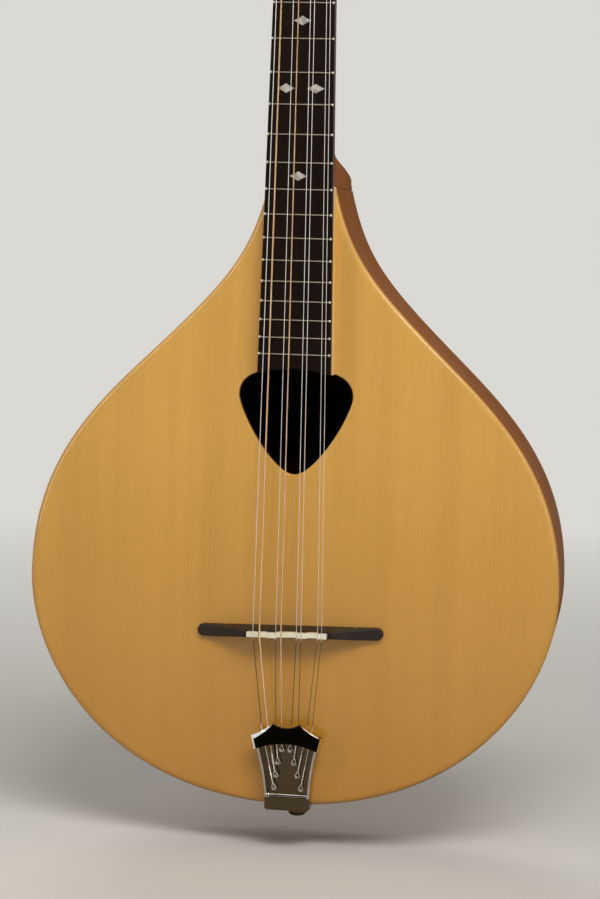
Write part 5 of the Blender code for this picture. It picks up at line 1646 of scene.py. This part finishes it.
@dataclass
class Tailpiece:
    """The metal tailpiece: tray, rails, crown, hooks, band and hanger, and the end pin."""

    layout: Layout
    peak_rise: float = 0.0543
    peak_x: float = 0.0084
    corner_x: float = 0.0222
    corner_drop: float = 0.0082
    crown_scoop: float = 0.0027
    flank_scoop: float = 0.0009
    foot_x: float = 0.020
    foot_drop: float = 0.0172
    foot_arch: float = 0.0044
    crown_thickness: float = 0.0018
    underside: float = 0.0132
    tray_thickness: float = 0.0015
    tray_clearance: float = 0.0012
    tray_head_drop: float = 0.0095
    tray_head_half: float = 0.0214
    tray_end_half: float = 0.01425
    tray_end_drift: float = 0.0007
    tray_waist: float = 0.0013
    wall: float = 0.0016
    lap: float = 0.001
    band_width: float = 0.0065
    band_height: float = 0.0072
    band_corner: float = 0.0012
    hanger_thickness: float = 0.0015
    hanger_neck: float = 0.009
    hanger_end: float = 0.0054
    hanger_past_pin: float = 0.012
    bass_hook_x: tuple[float, ...] = (-0.0060, -0.0052, -0.0039, -0.0018)
    treble_hook_x: tuple[float, ...] = (0.0035, 0.0060, 0.0085, 0.0109)
    hook_drop: tuple[float, ...] = (0.018, 0.0262, 0.0344, 0.0426)
    bass_chamfer: float = 0.0026
    treble_chamfer: float = 0.0005
    flank_chamfer: float = 0.0013
    narrow_chamfer: float = 0.0003
    hook_radius: float = 0.0011
    hook_height: float = 0.0072
    pin_y: float = 0.054
    pin_length: float = 0.0138

    def __post_init__(self) -> None:
        """Work out the heights that the parts share."""
        self.drift = self.layout.string_drift_tail
        self.peak_z = self.layout.tail_z + self.peak_rise
        self.crown_y = self.layout.face_y - self.underside
        self.tray_y = self.layout.face_y - self.tray_clearance - self.tray_thickness
        self.hanger_z = self.layout.tail_z - self.layout.glue_gap - self.hanger_thickness
        self.foot_z = self.layout.tail_z + self.band_width

    def hooks(self) -> list[tuple[float, float]]:
        """Each string's hook as (x, z), bass string first."""
        heights = [self.peak_z - drop for drop in self.hook_drop]
        return list(zip(self.bass_hook_x, reversed(heights))) + list(zip(self.treble_hook_x, heights))

    @staticmethod
    def scooped(start: Vector, end: Vector, depth: float, steps: int) -> Outline:
        """Points from start to just before end, bowed down by a depth in the middle."""
        shares = between(0, 1, steps)[:-1]
        return [start.lerp(end, share) - Vector((0, depth * bowed(share))) for share in shares]

    def crown_outline(self) -> Outline:
        """The crown: two peaks with a scoop between them and an arched lower edge.

        Returns:
            The closed outline, as (x, z).
        """
        peak = Vector((self.peak_x, self.peak_z))
        corner = Vector((self.corner_x, self.peak_z - self.corner_drop))
        foot = Vector((self.foot_x, self.peak_z - self.foot_drop))
        flip = Vector((-1, 1))
        points = self.scooped(peak * flip, peak, self.crown_scoop, 14)
        points += self.scooped(peak, corner, self.flank_scoop, 8) + [corner]
        points += self.scooped(foot, foot * flip, -self.foot_arch, 16) + [foot * flip]
        points += self.scooped(corner * flip, peak * flip, self.flank_scoop, 8)
        return [point + Vector((self.drift, 0)) for point in points]

    def chamfer_at(self, near: Vector, far: Vector) -> float:
        """How wide the crown's chamfer is along one stretch of its outline.

        Args:
            near: The stretch's first end.
            far: Its other end.

        Returns:
            The width: narrow along the top and the lower arch, widest at the bass corner.
        """
        middle = (near + far) / 2
        out = (abs(middle.x - self.drift) - self.peak_x) / (self.corner_x - self.peak_x)
        if out <= 0 or far.x < near.x and middle.y < self.peak_z - 0.75 * self.foot_drop:
            return self.narrow_chamfer
        wide = self.bass_chamfer if middle.x < self.drift else self.treble_chamfer
        if middle.y < self.peak_z - self.corner_drop:
            wide = min(wide, self.flank_chamfer)
        return self.narrow_chamfer + (wide - self.narrow_chamfer) * min(out, 1.0)

    def crown(self) -> tuple[Piece, Piece]:
        """The crown's chamfered body and its flat face, which is painted nearly black as a painted
        reflection.

        Returns:
            The body and the face.
        """
        outline = self.crown_outline()
        edges = list(zip(outline, outline[1:] + outline[:1]))
        inner = []
        for before, after in zip(edges[-1:] + edges[:-1], edges):
            corner = after[0]
            lines = []
            for near, far in (before, after):
                along = (far - near).normalized()
                inward = Vector((along.y, -along.x))
                lines.append((corner + inward * self.chamfer_at(near, far), along))
            (first, along), (second, other) = lines
            cross = along.x * other.y - along.y * other.x
            if abs(cross) < 0.2:
                inner.append((first + second) / 2)
                continue
            gap = second - first
            inner.append(first + along * ((gap.x * other.y - gap.y * other.x) / cross))
        front = self.crown_y - self.crown_thickness
        sections = ((outline, self.crown_y), (outline, front + 0.0009), (inner, front + 0.0001))
        rings = [[Vector((point.x, y, point.y)) for point in points] for points, y in sections]
        return skinned("crown_edge", rings), plate("crown_face", inner, front, front + 0.0005)

    def middle(self, z: float) -> float:
        """The X of the tray's middle line at a height."""
        return self.drift + self.tray_end_drift * clamped((self.peak_z - z) / self.peak_rise)

    def tray_half(self, z: float) -> float:
        """Half the tray's width at a height, with a slight waist.

        Args:
            z: The height.

        Returns:
            Half the width.
        """
        head_z = self.peak_z - self.corner_drop
        share = clamped((head_z - z) / (head_z - self.foot_z))
        straight = self.tray_head_half + (self.tray_end_half - self.tray_head_half) * share
        return straight - self.tray_waist * bowed(share)

    def tray_shape(self, head_z: float, inset: float) -> Outline:
        """The tray's outline, from its head to the band.

        Args:
            head_z: The height of its upper end.
            inset: How far its sides lie inside the tray's.

        Returns:
            The closed outline, as (x, z).
        """
        foot_z = self.foot_z - self.lap
        side = [Vector((self.tray_half(z) - inset, z)) for z in between(head_z, foot_z, 12)]
        outline = mirrored([Vector((0, head_z)), *side, Vector((0, foot_z))])
        return [point + Vector((self.middle(point.y), 0)) for point in outline]

    def rail(self, side: Side) -> Piece:
        """The wall along one side of the tray, rising to the crown.

        Args:
            side: Which side.

        Returns:
            The wall.
        """
        head_z, foot_z = self.peak_z - self.tray_head_drop - self.lap, self.foot_z - self.lap
        low_y = self.tray_y + 0.6 * self.tray_thickness
        head_y, foot_y = self.crown_y - 0.0004, self.tray_y - self.band_height + self.tray_thickness
        rings = []
        for z, top_y in zip(between(head_z, foot_z, 12), between(head_y, foot_y, 12)):
            outer, inner = self.tray_half(z), self.tray_half(z) - self.wall
            corners = ((outer, low_y), (outer, top_y), (inner, top_y), (inner, low_y))
            rings.append([Vector((self.middle(z) + side.value * x, y, z)) for x, y in corners])
        return round_edges(skinned("rail", rings), 0.00035, 2)

    def tray(self) -> Piece:
        """The tray, the band across its end and the hanger bent down over the tail.

        Returns:
            The three in one piece.
        """
        shape = self.tray_shape(self.peak_z - self.tray_head_drop, 0.0004)
        tray = plate("tray", shape, self.tray_y, self.tray_y + self.tray_thickness)
        end, cut, centre = self.tray_end_half, self.band_corner, self.middle(self.layout.tail_z)
        half = [(end - cut, self.hanger_z), (end, self.hanger_z + cut), (end, self.foot_z)]
        front_y = self.tray_y - self.band_height + self.tray_thickness - 0.0003
        band = plate("band", symmetric(half, centre), front_y, self.tray_y + 0.8 * self.tray_thickness)
        round_edges(band, 0.0004, 2)
        half = [
            (end - 0.0002, -self.tray_y),
            (end - 0.0002, -self.layout.face_y - 0.003),
            (self.hanger_neck, -self.pin_y),
            (self.hanger_end, -self.pin_y - self.hanger_past_pin),
        ]
        hanger = plate("hanger", symmetric(half), 0, self.hanger_thickness)
        down = Matrix.Rotation(math.pi / 2, 4, "X")
        hanger.data.transform(Matrix.Translation((centre, 0, self.hanger_z)) @ down)
        return joined("tail_tray", [tray, band, round_edges(hanger, 0.0003, 2)])

    def hook_posts(self) -> Piece:
        """The eight hooks.

        Returns:
            The hooks in one piece.
        """
        radius, height = self.hook_radius, self.hook_height + 0.0005
        profile = [(0.0, radius), (height - 0.0022, 0.85 * radius), (height - 0.0016, radius)]
        profile += [(height - 0.0005, radius), (height, 0.6 * radius)]
        places = [Vector((x, self.tray_y + 0.0005, z)) for x, z in self.hooks()]
        return joined("tail_hooks", [turned("hook", profile, place, -BACK, 20) for place in places])

    def lip(self) -> Piece:
        """The round lip across the tray's lower end, with a stud at each of its ends: a bright rod and
        studs that stand in for a highlight along the band's upper wall.

        Returns:
            The lip and the studs in one piece.
        """
        half = self.tray_end_half - self.wall - 0.0004
        middle = Vector((self.middle(self.layout.tail_z), self.tray_y - 0.0004, self.foot_z + 0.0005))
        ends = [middle - RIGHT * half, middle + RIGHT * half]
        profile = [(0.0, 0.0010), (0.0012, 0.0010), (0.0017, 0.0007), (0.0019, 0.0003)]
        studs = [turned("stud", profile, place, -BACK, 20) for place in ends]
        return joined("tray_lip", [rod("lip", *ends, 0.0005, 16), *studs])

    def pin(self) -> Piece:
        """The end pin, which holds the hanger.

        Returns:
            The pin.
        """
        profile = [(0.0, 0.0062), (0.0012, 0.0062), (0.0024, 0.0036), (0.0062, 0.0036)]
        profile += [(0.0090, 0.0057), (0.0105, 0.0060), (0.0125, 0.0058), (self.pin_length, 0.0045)]
        place = Vector((self.drift, self.pin_y, self.hanger_z - self.layout.glue_gap))
        return turned("strap_pin", profile, place, -UP, 40)

    def build(self) -> None:
        """Model the tailpiece."""
        # The tray, band and hanger: nickel painted dark brown as a painted reflection.
        dressed(smooth(self.tray(), 30), DIM_REFLECTION_NICKEL, Slot.NICKEL, "tailpiece")
        dressed(smooth(self.hook_posts()), NICKEL, Slot.NICKEL)
        rails = joined("tray_rails", [self.rail(side) for side in Side])
        dressed(smooth(rails, 30), NICKEL, Slot.NICKEL)
        edge, face = self.crown()
        # The chamfer painted as a white glint with a dark middle.
        dressed(smooth(edge, 30), CHAMFER, Slot.NICKEL)
        # The crown's face: nickel painted nearly black as a painted reflection.
        dressed(smooth(face, 30), DARK_REFLECTION_NICKEL, Slot.NICKEL)
        # The lip and studs: bright steel standing in for a highlight.
        dressed(smooth(self.lip()), LOOP_STEEL, Slot.NICKEL)
        # The end pin: nickel painted dark brown as a painted reflection.
        dressed(smooth(self.pin(), 50), DIM_REFLECTION_NICKEL, Slot.NICKEL, "end_pin")


# The strings


@dataclass
class StringSet:
    """Eight strings in four courses, from the hooks to the posts."""

    layout: Layout
    tailpiece: Tailpiece
    bridge: Bridge
    above_tray: float = 0.0035
    on_post: float = 0.006
    post_radius: float = 0.003
    nut_height: float = 0.0018
    nut_thickness: float = 0.005
    loop_radius: float = 0.00145
    loop_opening: float = 76 / 360
    loop_neck: float = 0.0042
    stem_length: float = 0.0105
    twist_pitch: float = 0.0016
    wound_from: float = 0.0003
    wrap_turns: int = 4

    def route(self, index: int) -> list[Vector]:
        """A string's path.

        Args:
            index: The string, 0 at the bass side.

        Returns:
            Its hook, its place under the crown, on the saddle and on the nut, and its post.
        """
        lay, tail = self.layout, self.tailpiece
        hook_x, hook_z = tail.hooks()[index]
        hook = Vector((hook_x, tail.tray_y - self.above_tray, hook_z))
        crown_y = tail.crown_y + max(lay.string_radii) + 3 * lay.glue_gap
        crown = Vector((lay.crown_x[index], crown_y, tail.peak_z - tail.corner_drop / 2))
        across = self.bridge.string_places()[index]
        saddle = self.bridge.place() @ Vector((across, self.bridge.saddle_top, 0))
        nut = Vector((lay.nut_x[index], -self.nut_height, 0.8 * self.nut_thickness))
        post_x, height = lay.posts()[index]
        reach = self.post_radius + lay.string_radii[index] + lay.glue_gap
        beside = Vector((post_x - math.copysign(reach, post_x), -self.on_post, height))
        return [hook, crown, saddle, nut, lay.head_frame() @ beside]

    def loop(self, index: int) -> list[Piece]:
        """The loop round a string's hook and its twisted stem.

        Args:
            index: The string.

        Returns:
            The loop and the stem's two strands.
        """
        hook, crown = self.route(index)[:2]
        along = (crown - hook).normalized()
        across = along.cross(BACK).normalized()
        up = across.cross(along)
        radius = min(self.layout.string_radii[index], self.wound_from)
        turns = between(self.loop_opening / 2, 1 - self.loop_opening / 2, 24)
        points = [hook + spoke(along, across, turn) * self.loop_radius for turn in turns]
        start = hook + along * self.loop_neck
        shapes = [wire("loop", [start, *points, start], radius)]
        steps = round(self.stem_length / self.twist_pitch * 12)
        for phase in (0.0, 0.5):
            strand = []
            for i in range(steps + 1):
                off = spoke(across, up, phase + i / 12) * radius * 1.05
                strand.append(start + along * (self.stem_length * i / steps) + off)
            shapes.append(wire("strand", strand, radius))
        return shapes

    def wraps(self, index: int) -> Piece:
        """A string's turns round its post.

        Args:
            index: The string.

        Returns:
            The coil.
        """
        radius = self.layout.string_radii[index]
        post_x, height = self.layout.posts()[index]
        inward = RIGHT * -math.copysign(1, post_x)
        points = []
        for turn in between(0, self.wrap_turns, 24 * self.wrap_turns):
            centre = Vector((post_x, -self.on_post + 2.1 * radius * turn, height))
            points.append(centre + spoke(inward, UP, turn) * (self.post_radius + 1.02 * radius))
        frame = self.layout.head_frame()
        return wire(f"wraps_{index + 1}", [frame @ point for point in [*points, centre]], radius)

    def build(self) -> None:
        """Model the strings."""
        loops = []
        for index, radius in enumerate(self.layout.string_radii):
            hook, crown, *rest = self.route(index)
            start = hook + (crown - hook).normalized() * self.loop_neck
            name = f"string_{index + 1}"
            path = wire(f"{name}_wire", [start, crown, *rest], radius)
            wound = radius > self.wound_from
            finish, slot = (STRING_BRONZE, Slot.BRONZE) if wound else (STRING_STEEL, Slot.STEEL)
            dressed(smooth(path, 60), finish, slot, name)
            dressed(smooth(self.wraps(index), 60), finish, slot, body=f"post_{index + 1}")
            loops += self.loop(index)
        # The loop ends: steel painted bright as a painted highlight.
        dressed(smooth(joined("string_loops", loops), 60), LOOP_STEEL, Slot.STEEL)


# The tuning machines


@dataclass
class TuningMachines:
    """Eight worm-driven tuners on two plates behind the headstock."""

    layout: Layout
    post_radius: float = 0.003
    post_proud: float = 0.0115
    string_hole: float = 0.0006
    plate_back: float = 0.0173
    gear_y: float = 0.02045
    gear_teeth: int = 14
    gear_pitch_radius: float = 0.0044563
    gear_addendum: float = 0.0004
    gear_dedendum: float = 0.00075
    gear_thickness: float = 0.002
    tooth_tip_half: float = 0.00024
    tooth_root_half: float = 0.00052
    worm_drop: float = 0.0067063
    worm_lead: float = 0.002
    worm_turns: int = 3
    worm_crest: float = 0.00275
    worm_core: float = 0.00155
    shaft_radius: float = 0.0015
    stub_x: float = 0.0063
    button_start: float = 0.016
    button_length: float = 0.0165
    button_half_width: float = 0.0072
    button_half_thickness: float = 0.0036
    screw_low: float = 0.0120063
    screw_high: float = 0.0082563
    screw_head: float = 0.0019
    screw_head_height: float = 0.0007
    screw_shank: float = 0.0009
    screw_length: float = 0.008
    ferrule_radius: float = 0.0043
    ferrule_wire: float = 0.0009
    cover_screw: tuple[float, float, float] = (0.0074, -0.0023, 0.0055)
    tail_screw_y: float = 0.036
    tail_screw_drop: float = 0.0021

    def gear(self, x: float, height: float) -> Piece:
        """The gear on a post, with the middle of a gap facing the worm.

        Args:
            x: The post's X.
            height: The post's height.

        Returns:
            The gear in the headstock's frame.
        """
        root = self.gear_pitch_radius - self.gear_dedendum
        tip = self.gear_pitch_radius + self.gear_addendum
        tooth = ((-self.tooth_root_half, root), (-self.tooth_tip_half, tip))
        tooth += ((self.tooth_tip_half, tip), (self.tooth_root_half, root))
        outline = []
        for number in range(self.gear_teeth):
            for half, radius in tooth:
                angle = 2 * math.pi * (number + 0.5) / self.gear_teeth + half / radius
                outline.append(Vector((x + radius * math.sin(angle), height - radius * math.cos(angle))))
        low = self.gear_y - self.gear_thickness / 2
        return round_edges(plate("gear", outline, low, low + self.gear_thickness), 0.0001, 1)

    def post(self, index: int, x: float, height: float) -> None:
        """A string post with its string hole, and its gear.

        Args:
            index: The string, 0 at the bass side.
            x: The post's X.
            height: The post's height.
        """
        frame, body = self.layout.head_frame(), f"post_{index + 1}"
        tip, radius = self.post_proud, self.post_radius
        profile = [(-self.gear_y + 0.0003, radius), (tip - 0.0019, radius), (tip - 0.0017, radius * 0.9)]
        profile += [(tip - 0.0013, radius * 0.9), (tip - 0.0011, radius), (tip - 0.0005, radius)]
        profile += [(tip, radius * 0.8)]
        shaft = turned(f"string_post_{index + 1}", profile, Vector((x, 0, height)), -BACK, 32)
        ends = [Vector((x + way * 0.005, -0.0078, height)) for way in (-1, 1)]
        cut_away(shaft, rod("string_hole", *ends, self.string_hole, 14))
        shaft.data.transform(frame)
        dressed(smooth(shaft), NICKEL, Slot.NICKEL, f"tuner_post_{index + 1}", body=body)
        back = self.gear_y + self.gear_thickness / 2
        profile = [(0.0, 0.0024), (0.0008, 0.0024), (0.0012, 0.0019)]
        cap = turned("gear_screw", profile, Vector((x, back - 0.0001, height)), BACK, 28)
        slot = symmetric([(0.003, height - 0.0003), (0.003, height + 0.0003)], x)
        cut_away(cap, plate("slot", slot, back + 0.0006, back + 0.002))
        wheel = joined(f"gear_{index + 1}", [self.gear(x, height), cap])
        wheel.data.transform(frame)
        dressed(smooth(wheel), GEAR_BRASS, Slot.BRONZE, body=body)

    def worm(self, x: float, height: float) -> Piece:
        """The worm's thread round its core, in the headstock's frame.

        Args:
            x: The middle of the machine.
            height: The height of the shaft.

        Returns:
            The thread.
        """
        start = x - 1.25 * self.worm_lead
        middle = (self.worm_crest + self.worm_core) / 2 + 0.0001
        points = []
        for turn in between(0, self.worm_turns, 24 * self.worm_turns):
            centre = Vector((start + self.worm_lead * turn, self.gear_y, height))
            points.append(centre + spoke(BACK, UP, turn) * middle)
        return wire("thread", points, self.worm_crest - middle)

    def key(self, index: int, x: float, height: float) -> None:
        """A key: its shaft with the worm, and its button.

        Args:
            index: The string, 0 at the bass side.
            x: The machine's X.
            height: The height of the shaft.
        """
        frame, body = self.layout.head_frame(), f"key_{index + 1}"
        axle, outward = Vector((x, self.gear_y, height)), RIGHT * math.copysign(1, x)
        radius, core, start = self.shaft_radius, self.worm_core, self.button_start
        profile = [(-self.stub_x, radius * 0.8), (-self.stub_x + 0.0003, radius), (-0.0036, radius)]
        profile += [(-0.0034, core), (0.0040, core), (0.0042, radius), (start - 0.0022, radius)]
        profile += [(start - 0.0016, 0.0023), (start - 0.0004, 0.0027), (start + 0.0002, 0.0024)]
        shaft = turned("shaft", profile, axle, outward, 24)
        rider = joined(f"worm_shaft_{index + 1}", [shaft, self.worm(x, height)])
        rider.data.transform(frame)
        dressed(smooth(rider), NICKEL, Slot.NICKEL, f"tuner_key_{index + 1}", body=body)
        rings = []
        for along in between(0, 1, 14):
            swell = max(1 - (2 * along - 0.92) ** 2 / 1.25, 0.05) ** 0.5
            centre = axle + outward * (start + self.button_length * along)
            half_y = self.button_half_thickness * min(1, 0.35 + swell * 0.65)
            half_z = self.button_half_width * swell
            ring = []
            for j in range(32):
                thin, wide = math.cos(2 * math.pi * j / 32), math.sin(2 * math.pi * j / 32)
                thin, wide = (math.copysign(abs(part) ** 0.8, part) for part in (thin, wide))
                ring.append(centre + BACK * (half_y * thin) + UP * (half_z * wide))
            rings.append(ring)
        button = skinned(f"button_{index + 1}", rings)
        button.data.transform(frame)
        dressed(smooth(button, 50), PLASTIC, Slot.PLASTIC, body=body)

    def screw(self, name: str, node: str, place: Vector, axis: Vector) -> None:
        """A slotted screw.

        Args:
            name: The screw's name.
            node: The frame node that it stands for.
            place: The middle of its head's underside.
            axis: The way its head points.
        """
        shank, head, high = self.screw_shank, self.screw_head, self.screw_head_height
        profile = [(0.3 * shank - self.screw_length, 0.3 * shank), (-0.8 * self.screw_length, shank)]
        profile += [(0.0, shank), (0.0001, head), (0.35 * high, head), (0.8 * high, 0.8 * head)]
        profile += [(high, 0.45 * head)]
        piece = turned(name, profile, place, axis, 28)
        across = axis.orthogonal().normalized() * 0.003
        top = place + axis * (high + 0.0001)
        cut_away(piece, rod("slot", top - across, top + across, 0.00035, 4))
        dressed(smooth(piece), GEAR_STEEL, Slot.STEEL, node)

    def build(self) -> None:
        """Model the machines, their plates, the screws and the ferrules."""
        lay = self.layout
        frame = lay.head_frame()
        back = frame.to_3x3() @ BACK
        ferrules = []
        for index, (x, height) in enumerate(lay.posts()):
            self.post(index, x, height)
            self.key(index, x, height - self.worm_drop)
            centre = Vector((x, -0.0002, height))
            spokes = [spoke(RIGHT, UP, i / 32) * self.ferrule_radius for i in range(32)]
            ring = [frame @ (centre + way) for way in spokes]
            ferrules.append(wire("ferrule", ring, self.ferrule_wire, closed=True))
        dressed(smooth(joined("ferrules", ferrules), 60), NICKEL, Slot.NICKEL)
        first, last = lay.post_first, lay.post_first + 3 * lay.post_pitch
        places = []
        for side in Side:
            node = f"tuner_plate_{side.name.lower()}"
            dressed(refined_node(node, f"{node}_steel", 0.00025), NICKEL, Slot.NICKEL, node)
            places += [(side, first - self.screw_low), (side, last + self.screw_high)]
        for i, (side, height) in enumerate(places, 1):
            place = Vector((side.value * lay.post_x, self.plate_back + lay.glue_gap, height))
            self.screw(f"plate_screw_{i}", f"tuner_plate_screw_{i}", frame @ place, back)
        x, y, z = self.cover_screw
        for i, side in enumerate(Side, 1):
            place = frame @ Vector((side.value * x, y, z))
            self.screw(f"cover_screw_{i}", f"truss_cover_screw_{i}", place, -back)
        place = Vector((lay.string_drift_tail, self.tail_screw_y, lay.tail_z - self.tail_screw_drop))
        self.screw("tail_screw", "tailpiece_screw", place, -UP)


# The studio


@dataclass
class Studio:
    """A pale floor, soft light from large lamps and the camera."""

    target: tuple[float, float, float] = (0.0053695, 0.0, -0.5363878)
    distance: float = 1.4405679
    azimuth: float = 0.14977981
    elevation: float = 0.08098192
    roll: float = 0.02812400
    focal_pixels: float = 2331.7756
    frame_pixels: float = 899.0
    sensor: float = 36.0
    floor_z: float = -0.792
    backdrop: Colour = (0.70, 0.69, 0.66)
    fill: Colour = (0.10, 0.096, 0.088)
    floor_solid: float = 0.5
    floor_gone: float = 1.9
    aim: tuple[float, float, float] = (0.0, 0.03, -0.52)
    lamp_tint: Colour = (1.0, 0.975, 0.94)

    def camera(self) -> None:
        """Place the camera."""
        level = math.cos(self.elevation)
        back = Vector(
            (math.sin(self.azimuth) * level, -math.cos(self.azimuth) * level, math.sin(self.elevation))
        )
        right = (-back).cross(UP).normalized()
        up = right.cross(-back)
        cos, sin = math.cos(self.roll), math.sin(self.roll)
        lens = bpy.data.cameras.new("camera")
        lens.sensor_fit = "AUTO"
        lens.sensor_width = self.sensor
        lens.lens = self.focal_pixels / self.frame_pixels * self.sensor
        lens.clip_start = 0.05
        camera = bpy.data.objects.new("camera", lens)
        bpy.context.scene.collection.objects.link(camera)
        axes = Matrix((right * cos + up * sin, up * cos - right * sin, back)).transposed().to_4x4()
        camera.matrix_world = Matrix.Translation(Vector(self.target) + back * self.distance) @ axes
        bpy.context.scene.camera = camera

    def lamp(self, name: str, place: Vector, size: tuple[float, float], power: float) -> None:
        """One rectangular soft lamp.

        Args:
            name: The lamp's name.
            place: Where it hangs.
            size: Its width and height.
            power: Its power in watts.
        """
        light = bpy.data.lights.new(name, "AREA")
        light.shape = "RECTANGLE"
        light.size, light.size_y = size
        light.energy = power
        light.color = self.lamp_tint
        lamp = bpy.data.objects.new(name, light)
        bpy.context.scene.collection.objects.link(lamp)
        turn = (Vector(self.aim) - place).to_track_quat("-Z", "Y")
        lamp.matrix_world = Matrix.Translation(place) @ turn.to_matrix().to_4x4()

    def floor(self) -> None:
        """A wide pale disc under the instrument."""
        deselect_all()
        bpy.ops.mesh.primitive_circle_add(
            vertices=96, radius=3.0, fill_type="NGON", location=(0, 0, self.floor_z)
        )
        ground = bpy.context.active_object
        ground.name = "studio_floor"
        paper = Paper("floor_paper", self.backdrop, self.floor_solid, self.floor_gone)
        ground.data.materials.append(paper.material())
        ground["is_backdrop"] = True

    def sky(self) -> None:
        """A pale backdrop for the camera and for reflections, and a dim fill for the rest."""
        world = bpy.data.worlds.new("backdrop")
        bpy.context.scene.world = world
        world.use_nodes = True
        bench = NodeBench(world.node_tree)
        rays = bench.add("LightPath").outputs
        seen = bench.calc("MAXIMUM", rays["Is Camera Ray"], rays["Is Transmission Ray"])
        seen = bench.calc("MAXIMUM", seen, rays["Is Glossy Ray"])
        colour = bench.blend(seen, self.fill, self.backdrop)
        bench.feed(world.node_tree.nodes["Background"], {"Color": colour, "Strength": 1.0})

    def build(self) -> None:
        """Set up the studio."""
        self.floor()
        self.sky()
        self.lamp("key_light", Vector((0.40, -1.05, 0.50)), (0.9, 0.55), 17.0)
        self.lamp("left_light", Vector((-1.10, -0.95, 0.05)), (0.12, 1.5), 5.0)
        self.lamp("right_light", Vector((1.20, -1.0, 0.05)), (0.12, 1.5), 4.5)
        self.lamp("back_light", Vector((-0.7, 1.8, 0.8)), (1.2, 1.0), 14.0)
        self.camera()


def write_size(stage: str, sizes: dict[str, list[list[float]]]) -> None:
    """Note the whole model's box at one moment.

    Args:
        stage: The moment's name.
        sizes: The notes so far, which grow.
    """
    low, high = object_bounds()
    sizes[stage] = [list(low), list(high)]


def main() -> None:
    """Dress the instrument and set up the studio."""
    logging.basicConfig(level=logging.INFO, format="%(name)s: %(message)s")
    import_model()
    sizes: dict[str, list[list[float]]] = {}
    write_size("frame", sizes)
    layout = Layout()
    tailpiece = Tailpiece(layout)
    bridge = Bridge(layout)
    Body(layout).build()
    Neck(layout).build()
    Fingerboard(layout).build()
    bridge.build()
    tailpiece.build()
    StringSet(layout, tailpiece, bridge).build()
    TuningMachines(layout).build()
    Studio().build()
    scene = bpy.context.scene
    scene.view_settings.view_transform = "Standard"
    write_size("visual", sizes)


if __name__ == "__main__":
    main()
